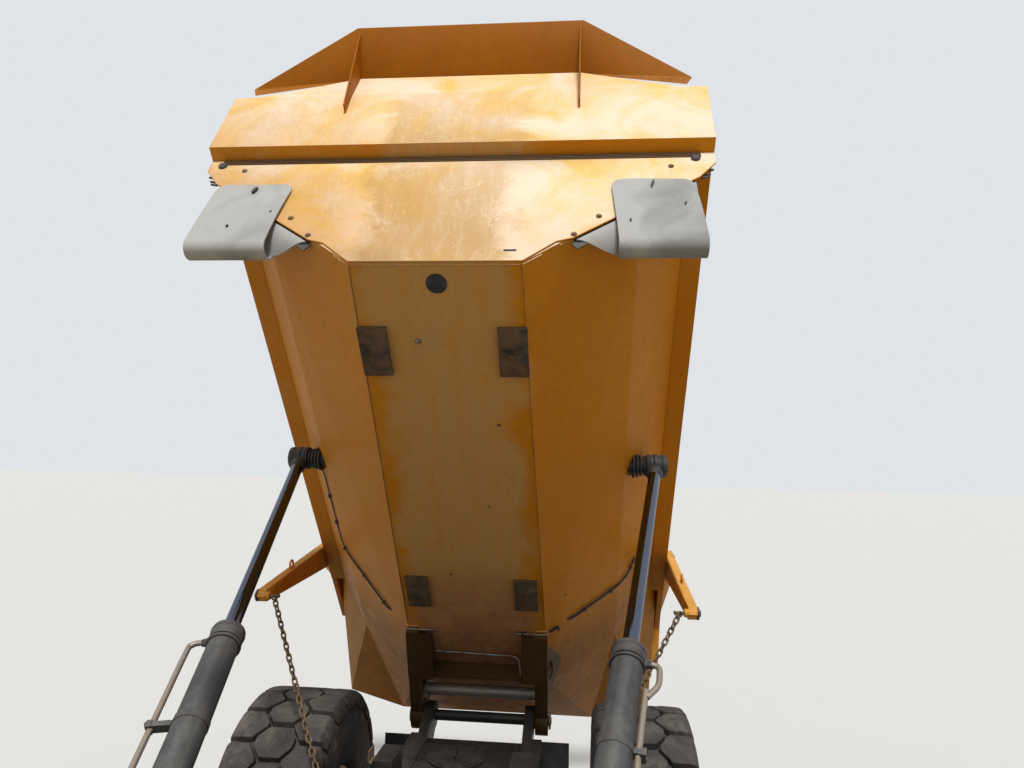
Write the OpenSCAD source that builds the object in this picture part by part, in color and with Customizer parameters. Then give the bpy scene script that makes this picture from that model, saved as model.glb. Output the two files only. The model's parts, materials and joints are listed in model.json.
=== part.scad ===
// Articulated dump truck of the 40 tonne class, bed raised. Millimetres, +X forward, +Y left, +Z up.
// Places are measured from the steering pin on the ground, then moved so that the whole machine is centred.

/* [Wheels] */
// Outer radius of the tyres over their lugs
tyre_r = 930; // [900:5:960]
// Section width of the tyres
tyre_w = 750; // [700:10:780]
// Height of the tread lugs
lug_h = 52; // [40:2:60]
// Lugs round one side of a tyre
lug_count = 20; // [18:1:24]
// Share of the tread that the lugs cover
lug_share = 0.84; // [0.7:0.02:0.9]
// Radius of the rims at the bead seat
rim_r = 330; // [320:2:340]
// Distance from the centre line to the middle of a tyre
track_half = 1343; // [1330:1:1360]
// Radius of the wheel bearings on the axle ends
spindle_r = 150; // [120:5:170]

/* [Layout] */
// Front axle ahead of the steering pin
front_axle_x = 1300; // [1280:10:1400]
// Centre axle behind the steering pin
centre_axle_back = 3150; // [3100:10:3180]
// Distance between the two rear axles
tandem = 1950; // [1940:5:1980]
// Bed pivot behind the rear axle
pivot_back = 750; // [740:5:770]
// Height of the bed pivot above the ground
pivot_z = 1490; // [1480:5:1510]
// Angle that the bed is raised to
bed_raise = 49; // [46:1:50]

/* [Frames] */
// Top of the frame rails above the ground
rail_top = 1420; // [1400:5:1430]
// Depth of the frame rails
rail_depth = 300; // [280:5:305]
// Width of a frame rail
rail_w = 160; // [140:5:165]
// Middle of a rear frame rail from the centre line
rail_y = 480; // [478:1:485]
// Radius of the axle tubes
axle_tube_r = 160; // [140:5:165]
// Radius of the oscillation tube of the hitch
osc_tube_r = 165; // [150:5:180]
// Radius of the steering pin
steer_pin_r = 60; // [50:5:70]
// Radius of the bed's hinge pins
bed_pin_r = 45; // [40:1:50]

/* [Bed] */
// Thickness of the floor and side plates
bed_t = 14; // [10:1:20]
// Thickness of the front wall
wall_t = 12; // [10:1:16]
// Height of the rail along the top of each side
side_rail_h = 130; // [100:5:150]
// Height of the canopy's bend above the floor line at the middle
canopy_base_w = 2080; // [2060:5:2100]
// Reach of the canopy ahead of its bend
canopy_reach = 320; // [300:5:340]
// Thickness of the rubber flaps
flap_t = 12; // [10:1:14]

/* [Tailgate] */
// Angle that the tailgate stands open
gate_open = 28; // [25:1:30]
// Thickness of the tailgate's arms
arm_t = 70; // [60:2:76]
// Length of an arm from its pivot to its front tip
arm_len = 1545; // [1530:5:1560]
// Thickness of the tailgate's plate
gate_t = 20; // [16:1:24]

/* [Hoist] */
// Outer radius of the hoist barrels
hoist_r = 85; // [75:1:88]
// Radius of the hoist rods
hoist_rod_r = 45; // [40:1:50]
// Radius of the ball ends
hoist_ball_r = 78; // [70:1:80]

/* [Cab] */
// Length of the cab
cab_len = 1600; // [1550:10:1620]
// Width of the cab
cab_w = 1700; // [1650:10:1720]
// Top of the cab roof above the ground
cab_top = 3720; // [3680:10:3760]
// Thickness of the cab's walls
cab_t = 50; // [40:2:56]
// Width of the hood
hood_w = 1700; // [1640:10:1720]
// Thickness of the hood's panels
hood_t = 8; // [6:1:12]

/* [Hidden] */

run_gap = 0.3;      // clearance where one piece turns or slides in another
seat_gap = 0.3;     // clearance between pieces that rest on each other but move apart
paint = "#E8A317";
shade = "#3B3B3D";
steel = "#8C8F94";
rubber = "#2A2A2C";

// Places along the machine
centre_axle_x = -centre_axle_back;
rear_axle_x = centre_axle_x - tandem;
pivot_x = rear_axle_x - pivot_back;
bead_half = tyre_w / 2 - 85;                            // half-width between the rim's lips
lug_half = lug_share / 2 * 360 / lug_count;                       // half the angle that one lug covers
axle_z = tyre_r * cos(180 / lug_count - lug_half);      // wheel centre, with the lowest lug edge on the ground

// Vectors
function unit(v) = v / norm(v);
function azimuth(d) = atan2(d[1], d[0]);
function elevation(d) = atan2(d[2], norm([d[0], d[1]]));

// A point of the raised bed: u along the floor from the pivot, y across, w up from the pivot line
function bed_point(u, y, w, a = bed_raise) =
    [pivot_x + u * cos(a) - w * sin(a), y, pivot_z + u * sin(a) + w * cos(a)];

// The same for the tailgate, given in the bed's frame with the gate shut
gate_pivot_u = 450;
gate_pivot_w = 1440;
function gate_uw(u, w, a = gate_open) = [
    gate_pivot_u + (u - gate_pivot_u) * cos(a) + (w - gate_pivot_w) * sin(a),
    gate_pivot_w - (u - gate_pivot_u) * sin(a) + (w - gate_pivot_w) * cos(a)];

// Bed cross-sections from the front wall to the tail
// [u at the floor, floor w, plate half-width, fold y, fold w, top y, top w, lean of the section]
bed_sections = [
    [4278, 235, 512, 1200, 762, 1640, 1400, 0.295],
    [200, 235, 600, 1200, 762, 1640, 1400, 0],
    [-1150, 740, 1000, 1590, 850, 1640, 1330, 0.9]];
floor_w = bed_sections[0][1];
tail_u = bed_sections[2][0];
tail_w = bed_sections[2][1];
tail_lean = bed_sections[2][7];
top_w = bed_sections[0][6];
wall_lean = bed_sections[0][7];
bed_half = 1690;                                        // half-width over the top rails
function wall_u(w) = bed_sections[0][0] + (w - floor_w) * wall_lean;
rail_low_w = 1227;                                      // underside of the front rail
band_top_w = 1807;                                      // top of the front rail
band_low_u = 4676;
band_top_u = 4863;
band_lean = (band_top_u - band_low_u) / (band_top_w - rail_low_w);
function band_u(w) = band_low_u + (w - rail_low_w) * band_lean;

// The tailgate's plate stands behind the slanted rear edges of the sides
gate_gap = 15;
gate_low_w = 690;
gate_top_w = 1420;
arm_y = bed_half + 15;               // inner face of an arm
gate_half = arm_y + arm_t;
function gate_u(w) = tail_u + (w - tail_w) * tail_lean - gate_gap;
gate_low = gate_uw(gate_u(gate_low_w) - gate_t * 1.4, gate_low_w);

// Length of the machine, and the shift that centres it
bumper_x = 4060;
bumper_depth = 240;
front_x = bumper_x + bumper_depth;
rear_x = bed_point(gate_low[0], 0, gate_low[1])[0];
origin_x = -(front_x + rear_x) / 2;

// Hoist
hoist_base = [-800, 665, 1290];
hoist_eye = [2230, 1450, 860];
hoist_up = bed_point(hoist_eye[0], hoist_eye[1], hoist_eye[2]);
hoist_down = bed_point(hoist_eye[0], hoist_eye[1], hoist_eye[2], 0);
hoist_barrel_len = norm(hoist_down - hoist_base) - 180;

// Steering cylinders
steer_z = 1000;
steer_base = [1060, 640, steer_z];
steer_eye = [-110, 330, steer_z];
steer_barrel_len = 680;
steer_rod_start = 380;               // lower end of the rod inside its barrel, machine straight
steer_rod_r = 28;
steer_ball_r = 52;
steer_eye_h = 60;
ear_t = 40;

// Chains: from a bracket on the frame to the tip of the tailgate's arm
chain_foot = [-4270, 870, 1480];
arm_shut_angle = -27.3;                                 // slope of the arm's front leg, gate shut
arm_tip_shut = [gate_pivot_u + arm_len * cos(arm_shut_angle), gate_pivot_w + arm_len * sin(arm_shut_angle)];
arm_tip = gate_uw(arm_tip_shut[0], arm_tip_shut[1]);
chain_head_y = arm_y - 60;
chain_head = bed_point(arm_tip[0], chain_head_y, arm_tip[1]);
chain_mid = (chain_foot + chain_head) / 2;

// Moves a piece from the steering pin's frame to the machine's
module set_down() translate([origin_x, 0, 0]) children();

// The left one as drawn, the right one mirrored
module on_side(s) {
    if (s > 0) children();
    else mirror([0, 1, 0]) children();
}
module both() for (s = [1, -1]) on_side(s) children();

module on_bed() translate([pivot_x, 0, pivot_z]) rotate([0, -bed_raise, 0]) children();
module on_gate() on_bed() translate([gate_pivot_u, 0, gate_pivot_w]) rotate([0, gate_open, 0])
    translate([-gate_pivot_u, 0, -gate_pivot_w]) children();

// Turns the x axis to the direction d, at the place p
module along(p, d) translate(p) rotate([0, -elevation(d), azimuth(d)]) children();

// A box given by its two corners
module block(a, b) translate(a) cube(b - a);

// A profile in the x-z plane, from y0 to y1
module slab(y0, y1) translate([0, y1, 0]) rotate([90, 0, 0]) linear_extrude(height = y1 - y0) children();

// A round bar across the machine
module cross_bar(x, z, r, y0, y1, fn = 48) translate([x, y0, z]) rotate([-90, 0, 0])
    cylinder(r = r, h = y1 - y0, $fn = fn);

// A handrail bar between two points
module bar(a, b, r = 18) along(a, b - a) rotate([0, 90, 0]) cylinder(r = r, h = norm(b - a), $fn = 16);

// Wheels

// One row of lugs, rooted inside the carcass
lug_root = 25;
lug_flare = 0.9;                    // angle by which a lug widens to its root
module lug_row(y0, y1, start) slab(y0, y1) for (i = [0:lug_count - 1])
    let (c = -90 + start + i * 360 / lug_count, low = tyre_r - lug_h - lug_root)
        polygon([for (p = [[-lug_half - lug_flare, low], [-lug_half, tyre_r], [lug_half, tyre_r], [lug_half + lug_flare, low]])
            p[1] * [cos(c + p[0]), sin(c + p[0])]]);

// The carcass as a turned profile, crowned by arcs at the shoulders and sidewalls
module carcass() {
    half = tyre_w / 2;
    root = tyre_r - lug_h;
    bulge = rim_r + 0.52 * (root - rim_r);
    side = [for (a = [-62:15.5:62]) [half - 46 + 46 * cos(a), bulge + (root - bulge - 60) * sin(a) / sin(62)]];
    bead = [[bead_half, rim_r + 0.5], [bead_half, rim_r + 40]];
    right = concat(bead, side, [[half - 46, root]]);
    outline = concat(right, [for (i = [len(right) - 1:-1:0]) [-right[i][0], right[i][1]]]);
    rotate([-90, 0, 0]) rotate_extrude($fn = 72) polygon([for (p = outline) [p[1], p[0]]]);
}

module tyre(x, s) color(rubber) set_down() translate([x, s * track_half, axle_z]) {
    tread = tyre_w / 2 - 36;
    carcass();
    lug_row(-tread, 8, 0);
    lug_row(-8, tread, 180 / lug_count);
}

// Rim with its dished disc and the planetary hub, open at the back for the axle end
rim_t = 26;
lip = bead_half + 1;                // inner face of the rim's lips
module rim(x, s) color(paint) set_down() translate([x, s * track_half, axle_z]) on_side(s) rotate([-90, 0, 0])
    rotate_extrude($fn = 60) polygon([
        [spindle_r + run_gap, -60], [spindle_r + run_gap, 120], [0, 120], [0, 330], [120, 330], [150, 300],
        [195, 300], [210, 215], [240, 150], [rim_r - rim_t, 110], [rim_r - rim_t, lip - 6], [rim_r + 4, lip + 18],
        [rim_r + 30, lip + 18], [rim_r + 30, lip], [rim_r, lip], [rim_r, -lip], [rim_r + 30, -lip],
        [rim_r + 30, -lip - 18], [rim_r + 4, -lip - 18], [rim_r - rim_t, -lip + 6], [rim_r - rim_t, 60],
        [240, 40], [215, -60]]);

// Axle tube with its differential and the bearing ends that the wheels turn on
cone_y = 350;                       // end of the differential's cones, inside the rails
module axle(x) translate([x, 0, axle_z]) {
    flange = track_half - 60 - seat_gap;
    end = track_half + 120 - seat_gap;
    rotate([-90, 0, 0]) rotate_extrude($fn = 60) polygon([
        [0, -end], [spindle_r, -end], [spindle_r, -flange], [235, -flange], [235, -flange + 60],
        [axle_tube_r, -flange + 100], [axle_tube_r, -cone_y], [300, -240], [300, -60], [250, 0], [300, 60], [300, 240],
        [axle_tube_r, cone_y], [axle_tube_r, flange - 100], [235, flange - 60], [235, flange], [spindle_r, flange],
        [spindle_r, end], [0, end]]);
}

module front_axle() color(shade) set_down() axle(front_axle_x);
module rear_axles() color(shade) set_down() for (x = [centre_axle_x, rear_axle_x]) axle(x);

// Frames

hitch_half = 260;                   // half-width of the steering plates
hitch_low = [720, 800];             // lower steering plate, bottom and top
hitch_high = [1380, 1460];          // upper steering plate
front_rail_y = 420;                 // middle of a front rail
front_rail_w = 120;
front_rail_in = front_rail_y - front_rail_w / 2;
front_rail_out = front_rail_y + front_rail_w / 2;

module steer_plate(z) translate([0, 0, z[0]]) difference() {
    union() {
        cylinder(r = 150, h = z[1] - z[0], $fn = 60);
        translate([0, -150, 0]) cube([700, 300, z[1] - z[0]]);
    }
    translate([0, 0, -1]) cylinder(r = steer_pin_r + run_gap, h = z[1] - z[0] + 2, $fn = 60);
}

front_plate_x = [500, 640];         // cross plate that carries the steering plates
front_cross_x = [2350, 3960];       // cross members between the front rails
axle_seat_y = 424;                  // inner side of the seats, clear of the differential
module front_frame() color(shade) set_down() {
    rail_low = rail_top - rail_depth;
    steer_plate(hitch_low);
    steer_plate(hitch_high);
    both() block([front_plate_x[0] + 60, front_rail_in, rail_low], [bumper_x, front_rail_out, rail_top]);
    block([front_plate_x[0], -front_rail_y, hitch_low[0]], [front_plate_x[1], front_rail_y, hitch_high[1]]);
    for (x = front_cross_x) block([x, -front_rail_y, rail_low + 40], [x + 100, front_rail_y, rail_low + 140]);
    // Seats over the axle, and outriggers under the balls of the steering barrels
    both() {
        block([front_axle_x - 90, axle_seat_y, axle_z + axle_tube_r + seat_gap],
            [front_axle_x + 90, front_rail_out, rail_low + 10]);
        block([steer_base[0] - 60, front_rail_y, steer_z + steer_ball_r + seat_gap],
            [steer_base[0] + 60, steer_base[1] + 60, rail_low + 60]);
    }
}

// Steering hinge block with the oscillation tube behind it
module hitch() color(paint) set_down() {
    low = hitch_low[1] + 6;
    high = hitch_high[0] - 6;
    mid = (low + high) / 2;
    translate([0, 0, low]) cylinder(r = 140, h = high - low, $fn = 60);
    translate([0, 0, hitch_low[0] - 10]) cylinder(r = steer_pin_r, h = hitch_high[1] - hitch_low[0] + 20, $fn = 60);
    for (z = [hitch_low[0] - 30, hitch_high[1] + 6]) translate([0, 0, z]) cylinder(r = 95, h = 24, $fn = 48);
    difference() {
        block([-330, -150, mid - 190], [0, 150, mid + 190]);
        translate([0, 0, mid - 200]) cylinder(r = 100, h = 400, $fn = 60);
    }
    translate([-860, 0, mid]) rotate([0, 90, 0]) cylinder(r = osc_tube_r, h = 560, $fn = 60);
    translate([-860, 0, mid]) rotate([0, 90, 0]) cylinder(r = osc_tube_r + 45, h = 860 - ring_back - 2, $fn = 60);
    // Ears under the eyes of the steering rods
    both() translate([0, 0, steer_z - steer_eye_h / 2 - 2 - ear_t]) linear_extrude(height = ear_t)
        polygon([[60, 100], [-200, 100], [-200, 160], [-180, steer_eye[1] + 50], [-60, steer_eye[1] + 65],
            [20, steer_eye[1] + 20]]);
}

// Rear frame: bearing ring round the oscillation tube, rails, cross members, hinge lugs and rest blocks
osc_z = (hitch_low[1] + hitch_high[0]) / 2;
ring_back = 780;                    // rear face of the bearing ring's plate
rest_pad_t = 30;
pad_u = [3680, 1395];               // places of the wear pads along the bed
pad_reach = 175;                    // half of a pad's length
pad_y = 437;
rear_cross_x = [-1500, centre_axle_x + 500, rear_axle_x + 975, rear_axle_x + 420, pivot_x + 250];
module rear_frame() color(shade) set_down() {
    rail_low = rail_top - rail_depth;
    rail_end = pivot_x + 250;
    inner = rail_y - rail_w / 2;
    outer = rail_y + rail_w / 2;
    difference() {
        union() {
            translate([-750, 0, osc_z]) rotate([0, 90, 0]) cylinder(r = osc_tube_r + 105, h = 330, $fn = 60);
            block([-ring_back, -outer, osc_z - 170], [-700, outer, rail_top]);
        }
        translate([-900, 0, osc_z]) rotate([0, 90, 0]) cylinder(r = osc_tube_r + run_gap, h = 600, $fn = 60);
    }
    // The tube's nut turns in this pocket, between the ring plate and the first cross member
    both() {
        block([rail_end, inner, rail_low], [-760, outer, rail_top]);
        hinge_lug(inner);
        // Hanger of the walking beam's pivot
        block([beam_x - 90, inner, axle_z + 60 - 90], [beam_x + 90, outer, rail_low + 10]);
    }
    for (x = rear_cross_x) block([x, -rail_y, rail_low + 60], [x + 120, rail_y, rail_top - 40]);
    cross_bar(pivot_x, pivot_z, bed_pin_r, -leg_out - 15, leg_out + 15);
}

// Rest blocks under the bed, cheeks of the hoist's lower balls and the chains' brackets, seated on the rails
module frame_brackets() color(shade) set_down() both() {
    outer = rail_y + rail_w / 2;
    side = outer + seat_gap;
    for (u = pad_u) block([pivot_x + u - 150, outer - rail_w, rail_top + seat_gap],
        [pivot_x + u + 150, outer - 20, pivot_z + floor_w - rest_pad_t - 6]);
    hoist_bracket(side);
    // Chain bracket, with its face beside the chain's ball
    block([chain_foot[0] - 60, side, chain_foot[2] - 200], [chain_foot[0] + 60, chain_foot[1] - 40, chain_foot[2] - 120]);
    block([chain_foot[0] - 60, chain_foot[1] - 90, chain_foot[2] - 130],
        [chain_foot[0] + 60, chain_foot[1] - chain_ball_r - seat_gap, chain_foot[2] + 40]);
}

leg_in = rail_y + 12;               // inner face of a bed leg
leg_out = leg_in + 110;
module hinge_lug(inner) difference() {
    slab(inner, rail_y) {
        translate([pivot_x, pivot_z]) circle(r = 115, $fn = 60);
        polygon([[pivot_x, pivot_z - 115], [pivot_x + 260, rail_top - rail_depth + 60], [pivot_x + 420, rail_top - rail_depth + 60],
            [pivot_x + 420, rail_top], [pivot_x + 120, pivot_z + 100], [pivot_x, pivot_z + 100]]);
    }
    cross_bar(pivot_x, pivot_z, bed_pin_r - 1, inner - 10, rail_y + 10);
}

// Cheeks on both sides of the hoist's lower ball, beside the rail
module hoist_bracket(side) {
    gap = hoist_ball_r + seat_gap;
    for (y = [[side, hoist_base[1] - gap], [hoist_base[1] + gap, hoist_base[1] + gap + 28]]) slab(y[0], y[1]) {
        translate([hoist_base[0], hoist_base[2]]) circle(r = 88, $fn = 48);
        polygon([[hoist_base[0] - 88, hoist_base[2]], [hoist_base[0] - 88, 1120], [hoist_base[0] + 120, 1120],
            [hoist_base[0] + 88, hoist_base[2]]]);
    }
    block([hoist_base[0] - 88, side, rail_top - rail_depth], [hoist_base[0] + 120, hoist_base[1] + gap + 28,
        rail_top - rail_depth + 50]);
}

// Cover plate over the rear of the frame, with its round lid
module frame_cover() color("#2B2A28") set_down() {
    inner = rail_y - rail_w / 2;
    block([rear_axle_x - 290, -inner, rail_top - 24], [rear_axle_x + 700, inner, rail_top - 8]);
    translate([rear_axle_x - 20, -90, rail_top - 8]) cylinder(r = 230, h = 22, $fn = 60);
}

// Walking beams that join the two rear axles on each side
beam_x = (centre_axle_x + rear_axle_x) / 2;
module walking_beams() color(shade) set_down() both() {
    difference() {
        slab(600, 700) {
            for (x = [centre_axle_x, rear_axle_x]) translate([x, axle_z]) circle(r = axle_tube_r + 70, $fn = 48);
            polygon([[centre_axle_x, axle_z + 120], [beam_x, axle_z + 190], [rear_axle_x, axle_z + 120],
                [rear_axle_x, axle_z - 150], [beam_x, axle_z - 60], [centre_axle_x, axle_z - 150]]);
        }
        for (x = [centre_axle_x, rear_axle_x]) cross_bar(x, axle_z, axle_tube_r + run_gap, 590, 710);
    }
    // Pivot, from the hanger's outer face
    cross_bar(beam_x, axle_z + 60, 70, rail_y + rail_w / 2, 730);
}

// Bed

// Moves an open outline by t to its left, with mitred corners
function inset(path, t) = [for (i = [0:len(path) - 1])
    let (a = i > 0 ? unit(path[i] - path[i - 1]) : unit(path[1] - path[0]),
        b = i < len(path) - 1 ? unit(path[i + 1] - path[i]) : a,
        na = [-a[1], a[0]], nb = [-b[1], b[0]], m = unit(na + nb))
    path[i] + m * t / (m * na)];

// Outline of one section from the left top to the right top, then back along the inside
function bed_ring(s, t) = let (
        outer = [[-s[5], s[6]], [-s[3], s[4]], [-s[2], s[1]], [s[2], s[1]], [s[3], s[4]], [s[5], s[6]]],
        inner = inset(outer, t))
    [for (p = concat(outer, [for (i = [5:-1:0]) inner[i]])) [s[0] + (p[1] - s[1]) * s[7], p[0], p[1]]];

module bed_tub() color(paint) set_down() on_bed() {
    n = 12;
    rings = [for (s = bed_sections) bed_ring(s, bed_t)];
    last = len(rings) - 1;
    quads = [for (k = [0:last - 1]) for (i = [0:n - 1])
        [k * n + i, k * n + (i + 1) % n, (k + 1) * n + (i + 1) % n, (k + 1) * n + i]];
    ends = [for (e = [0, last]) for (i = [0:4])
        e == 0 ? [i, n - 1 - i, n - 2 - i, i + 1] : [last * n + i, last * n + i + 1, last * n + n - 2 - i, last * n + n - 1 - i]];
    // Both skins and both sides of the bed are split the same way, so that the sheet keeps its thickness
    turned = [3, 4, 8, 9, 10];
    polyhedron([for (r = rings) each r],
        [for (j = [0:len(quads) + len(ends) - 1]) let (q = concat(quads, ends)[j], other = j < len(quads) && len(search(j % n, turned)) > 0)
            each other ? [[q[0], q[1], q[3]], [q[1], q[2], q[3]]] : [[q[0], q[1], q[2]], [q[0], q[2], q[3]]]]);
}

// Front wall: a leaning plate whose lower corners follow the sloped sides
wall_back = 0.5;                    // the wall stands just ahead of the sides' front edges
module bed_front_wall() color(paint) set_down() on_bed()
    leaning(wall_u(floor_w), floor_w, wall_lean) translate([wall_back, 0, 0]) rotate([90, 0, 90])
        linear_extrude(height = wall_t) wall_outline();

// Corners of the wall's right half from its foot up: [half-width, w]
wall_edge = [[bed_sections[0][2], floor_w], [700, 395], [800, 425], [1577, 980], [1688, 1120], [bed_half, rail_low_w - 15],
    [bed_half, rail_low_w]];
module wall_outline() polygon(concat([for (p = wall_edge) [p[0], lean_len(p[1])]],
    [for (i = [len(wall_edge) - 1:-1:0]) [-wall_edge[i][0], lean_len(wall_edge[i][1])]]));

// Length up a leaning plate to the height w
function lean_len(w) = (w - floor_w) * sqrt(1 + wall_lean * wall_lean);

// Stands a plate's own z axis along a lean
module leaning(u, w, lean) translate([u, 0, w]) rotate([0, atan(lean), 0]) children();

// Box rail across the front, and box rails along the tops of the sides
module bed_top_rails() color(paint) set_down() on_bed() {
    back_u = wall_u(rail_low_w);
    step_w = top_w + bed_t;
    // The lower back of the rail stands just ahead of the sides' front edges, and its upper back passes over them
    slab(-bed_half, bed_half) polygon([[back_u + wall_back, rail_low_w + 1], [band_low_u, rail_low_w + 1],
        [band_top_u, band_top_w], [band_top_u - 130, band_top_w], [back_u, rail_low_w + 260], [back_u, step_w],
        [wall_u(step_w) + wall_back, step_w]]);
    // Middle of the headboard above the rail
    leaning(band_u(band_top_w) - 14, band_top_w, headboard_lean) rotate([90, 0, 90])
        linear_extrude(height = wall_t) polygon([[-1550, 0], [1550, 0], [1370, 60], [820, headboard_h],
            [-820, headboard_h], [-1370, 60]]);
    both() difference() {
        slab(bed_sections[0][5] - 2, bed_half) polygon([[wall_u(top_w - side_rail_h) + 20, top_w - side_rail_h],
            [wall_u(top_w) + 20, top_w], [-300, top_w], [-360, top_w - side_rail_h]]);
        block([-1000, bed_sections[0][5] - 500, 0], [wall_u(top_w) + 500, bed_sections[0][5] + 0.3, top_w + 50]);
    }
}

headboard_top_u = 4920;
headboard_lean = (headboard_top_u - band_top_u) / (canopy_base_w - band_top_w);
headboard_h = (canopy_base_w - band_top_w) * sqrt(1 + headboard_lean * headboard_lean);

// Canopy over the cab's back: a middle plate, two wings and two gussets
canopy_rise = 210;
gusset_w = 1587;                    // lower tip of a gusset, on the front rail
module bed_canopy() color(paint) set_down() on_bed() {
    base_u = headboard_top_u - 14;
    base_w = canopy_base_w + 0.4;
    thick = 10;
    // Corners [u, y, w] of the middle and of a wing
    base_mid = [base_u, 820, base_w];
    edge_mid = [headboard_top_u + canopy_reach - 10, 840, base_w + canopy_rise];
    base_out = [band_top_u + 2, 1560, band_top_w + 45];
    edge_out = [band_top_u + 20, 1610, band_top_w + 173];
    plate4(base_mid, edge_mid, [edge_mid[0], -edge_mid[1], edge_mid[2]], [base_mid[0], -base_mid[1], base_mid[2]], thick);
    both() {
        plate4(base_mid, base_out, edge_out, edge_mid, thick);
        slab(812, 824) polygon([[headboard_top_u + 6, canopy_base_w + 6], [band_top_u + 1, band_top_w], [band_u(gusset_w) + 1, gusset_w],
            [band_u(gusset_w) + 60, gusset_w], [headboard_top_u + canopy_reach - 30, canopy_base_w + canopy_rise - 20]]);
    }
}

// A thin plate through four corners, thickened upwards
module plate4(a, b, c, d, t) {
    up = [0, 0, t];
    polyhedron([a, b, c, d, a + up, b + up, c + up, d + up],
        [[0, 2, 1], [0, 3, 2], [4, 5, 6], [4, 6, 7], [0, 5, 4], [0, 1, 5], [1, 6, 5], [1, 2, 6], [2, 7, 6], [2, 3, 7],
            [3, 4, 7], [3, 0, 4]]);
}

module bed_hinge_legs() color(paint) set_down() on_bed() both() {
    difference() {
        slab(leg_in, leg_out) difference() {
            union() {
                circle(r = 120, $fn = 60);
                polygon([[-60, 104], [-40, floor_w], [900, floor_w], [880, floor_w - 40], [110, -50]]);
            }
            translate([330, 120]) circle(r = 42, $fn = 32);
        }
        cross_bar(0, 0, bed_pin_r + run_gap, leg_in - 10, leg_out + 10);
    }
}

// Wear pads under the floor, where the bed rests on the frame
module bed_pads() color("#3A2C22") set_down() on_bed() both() for (u = pad_u)
    block([u - pad_reach, pad_y - 92, floor_w - rest_pad_t], [u + pad_reach, pad_y + 92, floor_w]);

// Bosses of the hoist eyes and of the tailgate's arms
module bed_bosses() color("#1E1E20") set_down() on_bed() both() {
    side_y = bed_sections[0][3] + (hoist_eye[2] - bed_sections[0][4])
        * (bed_sections[0][5] - bed_sections[0][3]) / (bed_sections[0][6] - bed_sections[0][4]);
    difference() {
        cross_bar(hoist_eye[0], hoist_eye[2], 62, side_y - 60, hoist_eye[1] - hoist_ball_r - 4);
        // Cut along the outer face of the side
        translate([0, bed_sections[0][3], bed_sections[0][4]]) rotate([atan2(bed_sections[0][6] - bed_sections[0][4],
            bed_sections[0][5] - bed_sections[0][3]), 0, 0]) translate([0, -600, -seat_gap]) cube([4000, 2000, 800]);
    }
    boss_in = bed_sections[0][5] + 2;
    block([gate_pivot_u - 90, boss_in, top_w], [gate_pivot_u + 90, bed_half, gate_pivot_w]);
    difference() {
        cross_bar(gate_pivot_u, gate_pivot_w, 90, boss_in, bed_half);
        block([gate_pivot_u - 100, bed_half - 70, gate_pivot_w - 100], [gate_pivot_u + 100, bed_half + 5, top_w]);
    }
    cross_bar(gate_pivot_u, gate_pivot_w, 38, bed_half, gate_half + 20);
}

// Rubber flaps: a panel on the wall's face, folded below the wall's edge and up behind it
flap_y = [1030, 1560];
flap_fold_w = 430;                  // height of the fold's middle
flap_top_w = 950;                   // free edge of the panel
flap_fold_r = 70;
flap_back_len = 120;
module bed_flaps() color("#6E6E70") set_down() on_bed() leaning(wall_u(floor_w), floor_w, wall_lean) both() {
    centre = [wall_back + wall_t + seat_gap + flap_t - flap_fold_r, lean_len(flap_fold_w)];
    slab(flap_y[0], flap_y[1]) difference() {
        union() {
            translate(centre) circle(r = flap_fold_r, $fn = 48);
            translate([centre[0] + flap_fold_r - flap_t, centre[1]]) square([flap_t, lean_len(flap_top_w) - centre[1]]);
            translate([centre[0] - flap_fold_r, centre[1]]) square([flap_t, flap_back_len]);
        }
        translate(centre) circle(r = flap_fold_r - flap_t, $fn = 48);
        translate([centre[0] - flap_fold_r + flap_t, centre[1]]) square([2 * (flap_fold_r - flap_t), 400]);
    }
}

// Tailgate

module tailgate() color(paint) set_down() on_gate() {
    lean_angle = atan(tail_lean);
    slab(-gate_half, gate_half) polygon([[gate_u(gate_low_w), gate_low_w], [gate_u(gate_top_w), gate_top_w],
        [gate_u(gate_top_w) - gate_t * 1.4, gate_top_w], [gate_u(gate_low_w) - gate_t * 1.4, gate_low_w]]);
    both() difference() {
        slab(arm_y, gate_half) {
            // Rear leg to the plate, boss, and tapered front leg with its tip
            polygon([[gate_pivot_u, gate_pivot_w + 110], [gate_u(gate_top_w) - 20, gate_top_w], [gate_u(1180) - 20, 1180],
                [gate_pivot_u, gate_pivot_w - 130]]);
            translate([gate_pivot_u, gate_pivot_w]) circle(r = 130, $fn = 48);
            translate([gate_pivot_u, gate_pivot_w]) rotate(arm_shut_angle) polygon([[0, 120], [arm_len, 50],
                [arm_len + 40, 0], [arm_len, -50], [0, -125]]);
        }
        cross_bar(gate_pivot_u, gate_pivot_w, 38 + run_gap, bed_half, gate_half + 10);
    }
    // Chain pins inside the arms' tips
    both() cross_bar(arm_tip_shut[0], arm_tip_shut[1], 32, chain_head_y + chain_ball_r + seat_gap, gate_half + 12, 40);
}

// Cylinders

// Turns a profile of [place, radius] about the x axis
module turned(path, fn = 60) rotate([0, 90, 0]) rotate_extrude($fn = fn) polygon([for (p = path) [p[1], p[0]]]);

// Half outline of a ball, from its far end to where the neck meets it
function ball(r, neck) = [for (i = [0:10]) let (a = 180 - i / 10 * (180 - asin(neck / r))) [r * cos(a), r * sin(a)]];

// Barrel: ball, neck, tube, gland and bore
module barrel(ball_r, neck_r, neck_x, tube_r, len, gland, bore_r, bore_x) turned(concat(ball(ball_r, neck_r), [
    [neck_x, neck_r], [neck_x, tube_r], [len - gland[0], tube_r], [len - gland[0], gland[1]], [len, gland[1]],
    [len, bore_r], [bore_x, bore_r], [bore_x, 0]]));

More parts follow.
